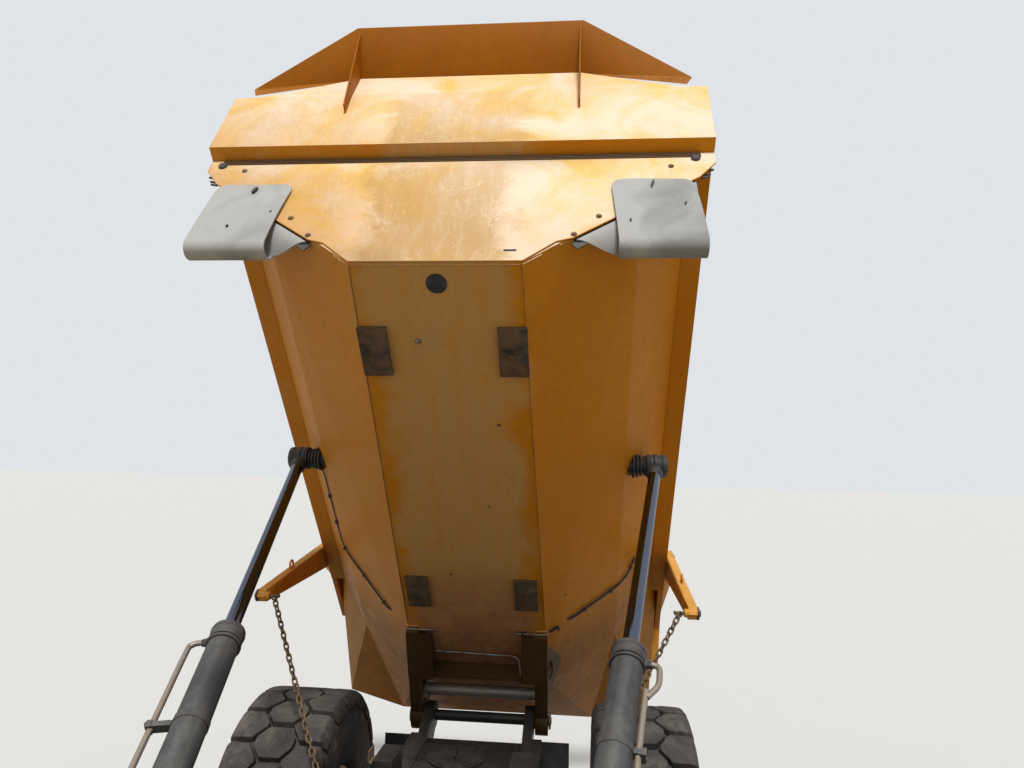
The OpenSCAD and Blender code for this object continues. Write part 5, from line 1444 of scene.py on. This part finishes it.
def makeCushion(name, low, high, matrix):
    points, faces = moved(padPart(low, high), matrix)
    cushion = makePiece(name, [(points, faces)], "tractor", "seatFabric", smooth=0)
    outward(cushion.data)
    cushion.data.polygons.foreach_set("use_smooth", [True] * len(cushion.data.polygons))
    puff = cushion.modifiers.new("rounded", "SUBSURF")
    puff.levels = puff.render_levels = 2
    seam = pipingPath((low[0] - 0.001, low[1] - 0.001), (high[0] + 0.001, high[1] + 0.001), (low[2] + high[2]) / 2)
    return [tubePart([matrix @ p for p in seam], 0.006, 8)]


def makeSeat(s):
    x0, x1 = s["base"]
    seams = makeCushion("seat_cushion", (x0, -s["half"], s["top"] - 0.13), (x1, s["half"], s["top"] + 0.015),
        Matrix.Identity(4))
    fx, fz = s["backFoot"]
    # In the back's own frame x runs up the back, y across, z out to the front
    tilt = radians(-s["backLean"])
    up, front = Vector((-sin(tilt), 0, cos(tilt))), Vector((cos(tilt), 0, sin(tilt)))
    lean = Matrix((up, Vector((0, -1, 0)), front)).transposed().to_4x4()
    lean.translation = (fx, 0, fz)
    seams += makeCushion("seat_back", (0.0, -s["backWide"], -0.06), (s["backHigh"] - 0.16, s["backWide"], 0.07), lean)
    seams += makeCushion("seat_headrest", (s["backHigh"] - 0.13, -0.14, -0.045), (s["backHigh"] + 0.06, 0.14, 0.045),
        lean)
    makePiece("seat_piping", seams, "tractor", "hoseRubber")
    shell = [moved(boxPart((-0.02, -0.225, -0.085), (s["backHigh"] - 0.17, 0.225, -0.055)), lean),
        boxPart((3.25, -0.24, 2.262), (3.72, 0.24, 2.292)), boxPart((3.3, -0.2, 1.961), (3.66, 0.2, 1.99))]
    shell += [tubePart([lean @ Vector((s["backHigh"] - 0.2, y, -0.01)), lean @ Vector((s["backHigh"] - 0.1, y, -0.01))],
        0.008, 8) for y in (-0.06, 0.06)]
    bellows = [(1.985, 0.17)]
    for k in range(7):
        bellows += [(1.99 + 0.038 * k, 0.185), (2.009 + 0.038 * k, 0.16)]
    rings = [[Vector((3.47 + r * cx, r * 1.05 * cy, h)) for cx, cy in ((copysign(abs(cos(a)) ** 0.35, cos(a)),
        copysign(abs(sin(a)) ** 0.35, sin(a))) for a in circle(32))] for h, r in bellows]
    makePiece("seat_shell", shell, "tractor", "trimPlastic", stands=("cab_seat",), soften=0.008)
    makePiece("seat_bellows", [ringsPart(rings)], "tractor", "hoseRubber", smooth=20)
    arms = []
    for sign in (1, -1):
        arms.append(tubePart(smoothPath([(3.27, sign * 0.27, 2.6), (3.32, sign * 0.3, 2.62), (3.62, sign * 0.3, 2.62),
            (3.66, sign * 0.3, 2.6)]), 0.032, 14))
    makePiece("seat_arms", arms, "tractor", "trimPlastic")


def makeDash():
    middle, axis = Vector((3.9443, 0, 2.4)), Vector((-1, 0, 1.2)).normalized()
    rim = middle + axis * 0.275
    side = axis.cross(Vector((0, 1, 0)))
    loop = [rim + (Vector((0, 1, 0)) * cos(t) + side * sin(t)) * 0.2 for t in (2 * pi * k / 48 for k in range(49))]
    parts = [tubePart(loop, 0.015, 12), lathePart([(0.245, 0.03), (0.26, 0.06), (0.285, 0.06), (0.295, 0.045)], middle,
        axis, 28)]
    for a in (0.5, 2.64, 4.71):
        reach = Vector((0, 1, 0)) * cos(a) + side * sin(a)
        parts.append(tubePart([rim + reach * 0.05, rim + reach * 0.19], 0.012, 10))
    for sign in (1, -1):
        parts.append(tubePart([middle + axis * 0.2 + Vector((0, sign * 0.03, 0)),
            middle + axis * 0.22 + Vector((0, sign * 0.15, 0.02))], 0.007, 8))
    makePiece("steering_wheel", parts, "tractor", "hoseRubber", smooth=50)
    dash = [boxOn((3.9, y, z), (0, 1, 0), (-1, 0, 0.35), size) for y, z, size in ((-0.36, 2.4, (0.26, 0.18, 0.03)),
        (0.36, 2.38, (0.2, 0.12, 0.02)))]
    dash += [boxOn((3.905, -0.66 + 0.035 * k, 2.3), (0, 1, 0), (-1, 0, 0.1), (0.024, 0.036, 0.016)) for k in range(6)]
    for y in (-0.12, 0.14):
        dash.append(boxOn((3.8, y, 2.02), (1, 0, 0.5), (-0.5, 0, 1), (0.16, 0.09, 0.012)))
        dash.append(tubePart([(3.84, y, 2.02), (3.93, y, 2.06)], 0.01, 8))
    for x, y, high in ((3.75, -0.4, 0.3), (3.66, -0.4, 0.24)):
        dash.append(tubePart(smoothPath([(x, y, 1.965), (x, y, 1.965 + high * 0.7), (x - 0.02, y, 1.965 + high)]),
            0.009, 8))
        dash.append(lathePart([(0, 0.016), (0.012, 0.026), (0.04, 0.024), (0.052, 0.01)], (x - 0.02, y, 1.96 + high),
            (0, 0, 1), 18))
    dash.append(boxPart((3.5, -0.48, 1.961), (3.86, -0.32, 2.02)))
    makePiece("dash_details", dash, "tractor", "trimPlastic", soften=0.002)
    mat = [boxPart((2.8, -0.74, 1.9605), (3.88, 0.74, 1.968))]
    mat += [boxPart((2.84, -0.7 + 0.056 * k, 1.967), (3.84, -0.685 + 0.056 * k, 1.972)) for k in range(26)]
    makePiece("cab_mat", mat, "tractor", "hoseRubber")
    screen = [boxOn((3.868, -0.352, 2.412), (0, 1, 0), (-1, 0, 0.35), (0.22, 0.14, 0.003)),
        boxOn((3.878, 0.364, 2.39), (0, 1, 0), (-1, 0, 0.35), (0.16, 0.09, 0.003))]
    makePiece("dash_screens", screen, "tractor", "darkGlass")


makeSeat(seat)
makeDash()
print("stage: cab made")

# Raised lozenges of tread plate, laid on a level top, turned by turns
def treadPlate(x0, x1, y0, y1, z, step=0.06, length=0.034, width=0.011, lift=0.0035):
    parts, row = [], 0
    x = x0 + step / 2
    while x < x1:
        y, column = y0 + step / 2, 0
        while y < y1:
            turn = radians(45 if (row + column) % 2 else -45)
            ahead, side = Vector((cos(turn), sin(turn), 0)), Vector((-sin(turn), cos(turn), 0))
            rings = [[Vector((x, y, z + h)) + ahead * a * grow + side * b * grow
                for a, b in ((length / 2, 0), (0, width / 2), (-length / 2, 0), (0, -width / 2))]
                for h, grow in ((-0.001, 1), (lift, 0.72))]
            parts.append(ringsPart(rings))
            y, column = y + step, column + 1
        x, row = x + step, row + 1
    return parts


# Hood: louvres with their rims, latches and handle, hinge straps and grille mesh; all tilt forward with it
hood = dict(half=0.85, x=(4.3243, 6.0243), louvreX=(4.66, 5.5), louvreZ=1.86, louvres=9, pitch=0.042, meshX=6.0,
    meshHalf=0.6, meshZ=(1.53, 2.19), meshStep=0.035, latches=[(4.41, 1.6), (4.41, 2.3)], handle=(5.9, 1.62))


def makeHood(s):
    half, parts = s["half"], []
    x0, x1 = s["louvreX"]
    lip = [(-0.001, 0.004), (0.015, -0.004), (0.016, -0.009), (-0.001, -0.027)]
    for row in range(s["louvres"]):
        z = s["louvreZ"] + s["pitch"] * row
        for a, b in ((x0, (x0 + x1) / 2 - 0.02), ((x0 + x1) / 2 + 0.02, x1)):
            parts.append(ringsPart([[Vector((x, half + out, z + up)) for out, up in lip]
                for x in (a, a + 0.006, b - 0.006, b)]))
    louvres = makePiece("hood_louvres", bothSides(parts), "hood", "bodyPaint", soften=0.0012)
    outward(louvres.data)
    parts = [loopPart((x0 - 0.05, s["louvreZ"] - 0.06), (x1 + 0.05, s["louvreZ"] + s["pitch"] * s["louvres"] + 0.01),
        lambda x, z, out: Vector((x, half - 0.001 + out, z)), 0.016, 0.005)]
    parts += [boltPart((x, half, z), (0, 1, 0), 0.008) for x in (x0 - 0.12, x1 + 0.12) for z in (1.52, 1.86, 2.2)]
    outward(makePiece("hood_panel_rims", bothSides(parts), "hood", "bodyPaint", soften=0.001).data)
    parts = []
    for x, z in s["latches"]:
        parts += [boxPart((x - 0.035, half - 0.001, z - 0.06), (x + 0.035, half + 0.007, z + 0.06)),
            boxPart((x - 0.018, half + 0.006, z - 0.045), (x + 0.018, half + 0.019, z + 0.03)),
            tubePart([(x, half + 0.012, z + 0.03), (x, half + 0.026, z + 0.052)], 0.006, 8)]
    x, z = s["handle"]
    parts.append(tubePart(smoothPath([(x, half + out, z + up) for out, up in ((-0.001, 0), (0.04, 0.008), (0.045, 0.05),
        (0.045, 0.22), (0.04, 0.262), (-0.001, 0.27))]), 0.011, 12))
    makePiece("hood_latches", bothSides(parts), "hood", "blackPaint", soften=0.0015)
    z0, z1 = s["meshZ"]
    wide, tall = int(2 * s["meshHalf"] / s["meshStep"]), int((z1 - z0) / s["meshStep"])
    mesh = [tubePart([(s["meshX"], -s["meshHalf"] + s["meshStep"] * k, z0),
        (s["meshX"], -s["meshHalf"] + s["meshStep"] * k, z1)], 0.003, 6) for k in range(wide + 1)]
    mesh += [tubePart([(s["meshX"] - 0.005, -s["meshHalf"], z0 + s["meshStep"] * k),
        (s["meshX"] - 0.005, s["meshHalf"], z0 + s["meshStep"] * k)], 0.003, 6) for k in range(tall + 1)]
    makePiece("grille_mesh", mesh, "hood", "blackPaint")
    nose = [boxPart((6.023, -0.64 + 0.32 * k - 0.03, 1.46), (6.031, -0.64 + 0.32 * k + 0.03, 1.545)) for k in (0, 4)]
    nose += [boltPart((6.031, y + dy, z), (1, 0, 0), 0.008) for y in (-0.64, 0.64) for dy in (-0.016, 0.016)
        for z in (1.48, 1.52)]
    makePiece("hood_hinge_straps", nose, "hood", "blackPaint", soften=0.0015)


# Bumper, lamps, tanks, steps, exhaust, mirrors, fenders and deck
front = dict(bumper=6.1243, bumperTop=(5.9, 6.1, 0.9, 1.13, 1.42), tankTop=(4.36, 5.3, 0.6, 1.22),
    hoops=(2.3, 2.65, 3.0, 3.35), mirrors=[(1.125, 1.355, 3.0, 3.305), (1.125, 1.355, 2.865, 2.985)],
    posts=[(1.6243, 1.0), (2.6333, 1.0), (1.6243, -1.0), (2.6333, -1.0), (1.6243, 0.28), (1.6243, -0.28)],
    lamps=[(0.76, 1.26), (0.96, 1.26)], ring=0.07, tankY=1.25, tankZ=(0.76, 1.4), straps=(4.52, 5.1), cap=(4.8, 0.95),
    stepX=(5.3843, 5.7243), stepY=(0.9, 1.35), stepZ=(0.59, 1.03), stack=(2.9743, -1.0), fenderX=(2.3, 3.95),
    fenderY=(0.95, 1.71), fenderZ=2.01, deck=(1.62, 2.66, -1.0, 1.0, 2.05))


def makeFront(s):
    x = s["bumper"]
    rings, lenses, plain = [], [], []
    for y, z in s["lamps"]:
        place = (x - 0.013, y, z)
        rings.append(lathePart([(0, s["ring"]), (0.012, s["ring"]), (0.014, s["ring"] - 0.006),
            (0.004, s["ring"] - 0.01)], place, (1, 0, 0), 36))
        lenses.append(lathePart([(0.002, s["ring"] - 0.008), (0.012, s["ring"] - 0.014), (0.017, 0.03), (0.018, 0.006)],
            place, (1, 0, 0), 36))
    makePiece("head_lamp_rings", bothSides(rings), "tractor", "rodChrome", smooth=30)
    makePiece("head_lamp_lenses", bothSides(lenses), "tractor", "lampGlass", smooth=50)
    makePiece("front_turn_lamps", bothSides([boxPart((x - 0.001, 1.085, 1.19), (x + 0.014, 1.13, 1.33))]), "tractor",
        "amberLens", soften=0.005)
    plain = [loopPart((0.655, 1.175), (1.065, 1.345), lambda y, z, out: Vector((x - 0.001 + out, y, z)), 0.018, 0.008)]
    plain += [boltPart((x, y, z), (1, 0, 0), 0.011) for y in (0.3, 0.42) for z in (1.0, 1.3)]
    plain += [boxPart((x - 0.001, 0.0, 1.1), (x + 0.008, 0.5, 1.16))]
    outward(makePiece("bumper_trim", bothSides(plain), "tractor", "blackPaint", soften=0.0015).data)
    grips = treadPlate(*s["bumperTop"])
    makePiece("bumper_tread", bothSides(grips), "tractor", "bodyPaint")
    ty, (z0, z1) = s["tankY"], s["tankZ"]
    parts = []
    for sx in s["straps"]:
        parts += [boxPart((sx - 0.03, ty - 0.001, z0 - 0.006), (sx + 0.03, ty + 0.006, z1 + 0.006)),
            boxPart((sx - 0.03, 0.6, z1 - 0.001), (sx + 0.03, ty + 0.006, z1 + 0.006)),
            boxPart((sx - 0.03, 0.6, z0 - 0.006), (sx + 0.03, ty + 0.006, z0 + 0.001)),
            boxPart((sx - 0.02, ty + 0.004, 1.22), (sx + 0.02, ty + 0.02, 1.3)),
            boltPart((sx, ty + 0.02, 1.26), (0, 1, 0), 0.012)]
    cx, cy = s["cap"]
    parts += [lathePart([(0, 0.085), (0.015, 0.085), (0.017, 0.066), (0.05, 0.066), (0.056, 0.058)],
        (cx, cy, z1 - 0.001), (0, 0, 1), 36), boxPart((cx - 0.055, cy - 0.009, z1 + 0.054),
        (cx + 0.055, cy + 0.009, z1 + 0.07))]
    parts += [lathePart([(0, 0.02), (0.012, 0.02), (0.014, 0.012), (0.03, 0.012)], (4.68, ty, z), (0, 1, 0), 16)
        for z in (0.92, 1.28)]
    parts += [tubePart([(4.68, ty + 0.022, 0.92), (4.68, ty + 0.022, 1.28)], 0.008, 10)]
    makePiece("tank_straps", bothSides(parts), "tractor", "bareSteel", soften=0.0015)
    grips = []
    for z in s["stepZ"]:
        grips += treadPlate(*s["stepX"], *s["stepY"], z, 0.045, 0.028, 0.011, 0.005)
    grips += treadPlate(*s["tankTop"], z1, 0.07)
    makePiece("step_tread", bothSides(grips), "tractor", "blackPaint")
    sx, sy = s["stack"]
    cage = [tubePart([(sx + 0.088 * cos(a), sy + 0.088 * sin(a), 2.3),
        (sx + 0.088 * cos(a), sy + 0.088 * sin(a), 3.35)], 0.005, 6) for a in circle(18)]
    for z in s["hoops"]:
        cage.append(bandPart(0.012, 0.086, 0.094, (sx, sy, z), (0, 0, 1)))
    cage += [boxPart((sx - 0.03, sy + 0.06, z - 0.03), (sx + 0.03, -0.849, z + 0.03)) for z in (2.55, 3.3)]
    cage += [lathePart([(0, 0.074), (0.006, 0.074), (0.012, 0.05)], (sx - 0.008, sy, 3.668), (0.3, 0, 1), 32),
        boxPart((sx - 0.095, sy - 0.02, 3.6), (sx - 0.066, sy + 0.02, 3.66)),
        lathePart([(0, 0.082), (0.03, 0.082), (0.034, 0.07)], (sx, sy, 2.01), (0, 0, 1), 32)]
    makePiece("exhaust_guard", cage, "tractor", "rustySteel", smooth=30)
    glass, rims = [], []
    for y0, y1, low, high in s["mirrors"]:
        glass.append(boxPart((4.5795, y0, low), (4.585, y1, high)))
        rims.append(loopPart((y0, low), (y1, high), lambda y, z, out: Vector((4.585 - out, y, z)), 0.014, 0.009, 0.02))
    rims += [lathePart([(-0.03, 0.02), (0.03, 0.02)], (4.31, 0.8, 3.3), (0, 0, 1), 20),
        boltPart((4.3243, 0.8, 3.28), (1, 0, 0), 0.008)]
    makePiece("mirror_faces", bothSides(glass), "tractor", "rodChrome")
    outward(makePiece("mirror_rims", bothSides(rims), "tractor", "trimPlastic").data)
    (fx0, fx1), (fy0, fy1), fz = s["fenderX"], s["fenderY"], s["fenderZ"]
    makePiece("fender_tread", bothSides(treadPlate(fx0, fx1, fy0 + 0.2, fy1, fz, 0.08, 0.044, 0.014)), "tractor",
        "bodyPaint")
    x0, x1, y0, y1, z = s["deck"]
    makePiece("deck_tread", treadPlate(x0 + 0.03, x1 - 0.02, y0 + 0.06, y1 - 0.06, z, 0.07, 0.04, 0.013), "tractor",
        "blackPaint")
    feet = []
    for px, py in s["posts"]:
        feet.append(boxPart((px - 0.024, py - 0.036, z - 0.001), (px + 0.024, py + 0.036, z + 0.01)))
        feet += [boltPart((px, py + dy, z + 0.01), (0, 0, 1), 0.006) for dy in (-0.027, 0.027)]
        feet.append(lathePart([(0, 0.026), (0.006, 0.024), (0.02, 0.0185)], (px, py, z + 0.008), (0, 0, 1), 20))
    makePiece("deck_rail_feet", feet, "tractor", "blackPaint", soften=0.001)


# Engine: ribs, covers, manifold, filters, fan with its shroud; radiator fins; all under the hood
engine = dict(x=(4.4743, 5.6743), half=0.36, z=(1.22, 2.15), covers=6, filters=(4.75, 4.9, 5.2), fan=(5.72, 0, 1.86),
    fanR=0.4, blades=8, core=(5.8843, 0.6))


def makeEngine(s):
    (x0, x1), half, (z0, z1) = s["x"], s["half"], s["z"]
    step = (x1 - x0 - 0.16) / s["covers"]
    parts, pipes = [], []
    for k in range(s["covers"]):
        x = x0 + 0.08 + step * (k + 0.5)
        parts += [boxPart((x - step * 0.42, -0.17, z1 - 0.001), (x + step * 0.42, 0.17, z1 + 0.055)),
            boxPart((x - 0.02, half - 0.001, z0 + 0.1), (x + 0.02, half + 0.02, z1 - 0.3)),
            boxPart((x - 0.02, -half - 0.02, z0 + 0.1), (x + 0.02, -half + 0.001, z1 - 0.3))]
        parts += [boltPart((x + dx, dy, z1 + 0.055), (0, 0, 1), 0.009) for dx in (-0.06, 0.06) for dy in (-0.13, 0.13)]
        pipes.append(tubePart(smoothPath([(x, -half + 0.01, z1 - 0.14), (x, -half - 0.06, z1 - 0.13),
            (x - 0.03, -half - 0.1, z1 - 0.1)]), 0.032, 12))
    pipes.append(tubePart([(x0 + 0.1, -half - 0.105, z1 - 0.09), (x1 - 0.14, -half - 0.105, z1 - 0.09)], 0.045, 16))
    pipes.append(lathePart([(-0.08, 0.06), (-0.07, 0.1), (-0.02, 0.11), (0.02, 0.085), (0.06, 0.1), (0.08, 0.06)],
        (5.05, -half - 0.14, z1 + 0.05), (1, 0, 0), 28))
    parts += [lathePart([(0, 0.055), (0.01, 0.06), (0.22, 0.06), (0.24, 0.045)], (x, half + 0.062, z0 + 0.32),
        (0, 0, -1), 28) for x in s["filters"]]
    parts.append(boxPart((4.66, half - 0.001, z0 + 0.31), (5.28, half + 0.12, z0 + 0.36)))
    parts.append(tubePart(smoothPath([(5.6, half - 0.1, z1 - 0.02), (5.6, half + 0.05, z1 + 0.06),
        (5.1, half + 0.08, z1 + 0.08), (4.6, half + 0.05, z1 + 0.05), (4.55, half - 0.06, z1 - 0.01)]), 0.05, 16))
    makePiece("engine_fittings", parts, "tractor", "framePaint", soften=0.003)
    makePiece("engine_pipes", pipes, "tractor", "rustySteel", smooth=50)
    middle = Vector(s["fan"])
    blades = [lathePart([(-0.045, 0.05), (-0.02, 0.07), (0.03, 0.07), (0.035, 0.03)], middle, (1, 0, 0), 28)]
    for k in range(s["blades"]):
        a = 2 * pi * k / s["blades"]
        reach, side = Vector((0, cos(a), sin(a))), Vector((0, -sin(a), cos(a)))
        tilted = (side + Vector((0.45, 0, 0))).normalized()
        corner = [middle + reach * r + tilted * w for r, w in ((0.06, -0.03), (s["fanR"], -0.06), (s["fanR"], 0.05),
            (0.06, 0.03))]
        blades.append(platePart(corner, 0.004, reach.cross(tilted)))
    shroud = [bandPart(0.03, s["fanR"] + 0.022, s["fanR"] + 0.032, middle, (1, 0, 0), 48)]
    outward(makePiece("engine_fan", blades + shroud, "tractor", "trimPlastic", smooth=30).data)
    r1, wide = s["core"]
    fins = [boxPart((r1 - 0.001, -wide + 0.03 + 0.03 * k, 1.5), (r1 + 0.01, -wide + 0.034 + 0.03 * k, 2.1))
        for k in range(39)]
    fins += [boxPart((r1 - 0.001, -wide + 0.02, z), (r1 + 0.014, wide - 0.02, z + 0.012))
        for z in (1.5, 1.7, 1.9, 2.09)]
    makePiece("radiator_fins", fins, "tractor", "bareSteel")


# Frame and hitch: brake lines on the rails, cover bolts, rail bracket, tail lamps, pin caps and cylinder glands
chassis = dict(railOut=0.56, top=1.42, lines=[(1, 0.386, 1.398), (1, 0.366, 1.398), (-1, 0.386, 1.398)],
    lineX=(0.2, -2.42), cover=(-3.5657, -2.5757, 0.4, 1.412), lid=(-3.2957, -0.09, 1.434, 0.2), tail=-3.7757,
    pin=(1.8243, 1.49, 0.69), steerFoot=(2.8843, 0.64, 1.0), steerEye=(1.7143, 0.33, 1.0), steerBarrel=0.68,
    bracket=(-3.15, -0.62), restU=(3.68, 1.395))


def makeChassis(s):
    lines, clips, rests, feet = [], [], [], []
    x0, x1 = s["lineX"]
    for sign, y, z in s["lines"]:
        lines.append(tubePart(smoothPath([(x0 + 0.1, sign * y, z - 0.14), (x0 + 0.03, sign * y, z - 0.02),
            (x0 - 0.05, sign * y, z), (x1 + 0.06, sign * y, z), (x1, sign * y, z - 0.03),
            (x1 - 0.02, sign * y, z - 0.2)], 5), 0.0075, 10))
    for k in range(6):
        x = x0 - 0.2 - 0.42 * k
        clips += [boxPart((x - 0.015, y0, 1.408), (x + 0.015, y1, 1.4145)) for y0, y1 in ((0.35, 0.4), (-0.4, -0.37))]
    makePiece("frame_lines", lines, "rear_frame", "pipeSteel", smooth=50)
    makePiece("frame_line_clips", clips, "rear_frame", "bareSteel")
    cx0, cx1, half, z = s["cover"]
    studs = [boltPart((cx0 + 0.05 + (cx1 - cx0 - 0.1) * k / 7, y, z), (0, 0, 1), 0.012) for k in range(8)
        for y in (-half + 0.04, half - 0.04)]
    lx, ly, lz, lr = s["lid"]
    studs += [boltPart((lx + lr * cos(a), ly + lr * sin(a), lz), (0, 0, 1), 0.011) for a in circle(12)]
    studs.append(tubePart(smoothPath([(lx - 0.06, ly, lz - 0.002), (lx - 0.055, ly, lz + 0.035),
        (lx + 0.055, ly, lz + 0.035), (lx + 0.06, ly, lz - 0.002)]), 0.007, 10))
    for k in range(9):
        x = 0.9 - 0.5 * k
        studs += [boltPart((x + dx, side * s["railOut"], zz), (0, side, 0), 0.013) for side in (1, -1)
            for dx in (0, 0.09) for zz in (1.2, 1.35)]
    makePiece("frame_bolts", studs, "rear_frame", "framePaint")
    for u in s["restU"]:
        x = bedFrame["pivot"][0] + u
        restHigh = settle("rear_frame", (x, 0.52, 2.0))[0].z
        rests.append(boxPart((x - 0.14, 0.41, restHigh - 0.001), (x + 0.14, 0.55, restHigh + 0.012)))
        feet += [boxPart((x + side * 0.17 - 0.03, 0.42, s["top"] - 0.001),
            (x + side * 0.17 + 0.03, 0.54, s["top"] + 0.014)) for side in (1, -1)]
        feet += [boltPart((x + side * 0.175, y, s["top"] + 0.014), (0, 0, 1), 0.011) for side in (1, -1)
            for y in (0.45, 0.51)]
    makePiece("rest_caps", bothSides(rests), "rear_frame", "padRubber", soften=0.003)
    makePiece("rest_feet", bothSides(feet), "rear_frame", "framePaint", soften=0.002)
    bx, by = s["bracket"]
    plate = [boxPart((bx - 0.07, by - 0.12, s["top"] - 0.001), (bx + 0.07, by + 0.1, s["top"] + 0.012)),
        boxPart((bx - 0.07, by - 0.12, s["top"] - 0.001), (bx + 0.07, by - 0.108, s["top"] + 0.09))]
    plate += [boltPart((bx + dx, by + 0.06, s["top"] + 0.012), (0, 0, 1), 0.009) for dx in (-0.04, 0.04)]
    makePiece("rail_bracket", plate, "rear_frame", "bareSteel", soften=0.001)
    x = s["tail"]
    holders = [boxPart((x - 0.012, s["railOut"] - 0.04, 1.14), (x + 0.001, s["railOut"] + 0.23, 1.4))]
    lamps, amber = [], []
    for y in (0.64, 0.74):
        holders.append(lathePart([(0, 0.047), (0.022, 0.047), (0.024, 0.04)], (x - 0.01, y, 1.34), (-1, 0, 0), 24))
        (lamps if y < 0.7 else amber).append(lathePart([(0.02, 0.041), (0.03, 0.037), (0.034, 0.02), (0.035, 0.004)],
            (x - 0.01, y, 1.34), (-1, 0, 0), 24))
    makePiece("tail_lamp_holders", bothSides(holders), "rear_frame", "blackPaint", soften=0.001)
    makePiece("tail_lamps", bothSides(lamps), "rear_frame", "redLens", smooth=50)
    makePiece("tail_turn_lamps", bothSides(amber), "rear_frame", "amberLens", smooth=50)
    px, high, low = s["pin"]
    caps = [boltPart((px + 0.07 * cos(a), 0.07 * sin(a), high), (0, 0, 1), 0.012) for a in circle(6)]
    caps += [boltPart((px + 0.07 * cos(a), 0.07 * sin(a), low), (0, 0, -1), 0.012) for a in circle(6)]
    caps.append(lathePart([(0, 0.012), (0.01, 0.012), (0.012, 0.006), (0.022, 0.005)], (px, 0, high), (0, 0, 1), 12))
    makePiece("hitch_pin_caps", caps, "hitch", "framePaint")
    for side, sign in (("left", 1), ("right", -1)):
        foot, eye = (Vector((p[0], sign * p[1], p[2])) for p in (s["steerFoot"], s["steerEye"]))
        axis = (eye - foot).normalized()
        end = foot + axis * s["steerBarrel"]
        parts = [lathePart([(-0.06, 0.06), (-0.055, 0.066), (0.008, 0.066), (0.012, 0.058), (0.02, 0.034)], end, axis,
            32)]
        parts += [boltPart(end + axis * 0.008 + Vector((0, 0, 1)) * 0.05 * sin(a)
            + axis.cross(Vector((0, 0, 1))) * 0.05 * cos(a), axis, 0.006) for a in circle(6, 0.5)]
        for along in (0.14, 0.6):
            parts.append(lathePart([(0, 0.022), (0.02, 0.022), (0.022, 0.017), (0.036, 0.016)],
                foot + axis * along + Vector((0, 0, 0.05)), (0, 0, 1), 6))
        parts.append(tubePart(smoothPath([foot + axis * a + Vector((0, 0, h))
            for a, h in ((0.6, 0.08), (0.59, 0.098), (0.54, 0.1), (0.2, 0.1), (0.15, 0.098), (0.14, 0.08))]), 0.009,
            10))
        makePiece(f"steer_gland_{side}", parts, "tractor", "blackPaint", soften=0.001)


makeHood(hood)
makeFront(front)
makeEngine(engine)
makeChassis(chassis)
print("stage: tractor and frame details made")
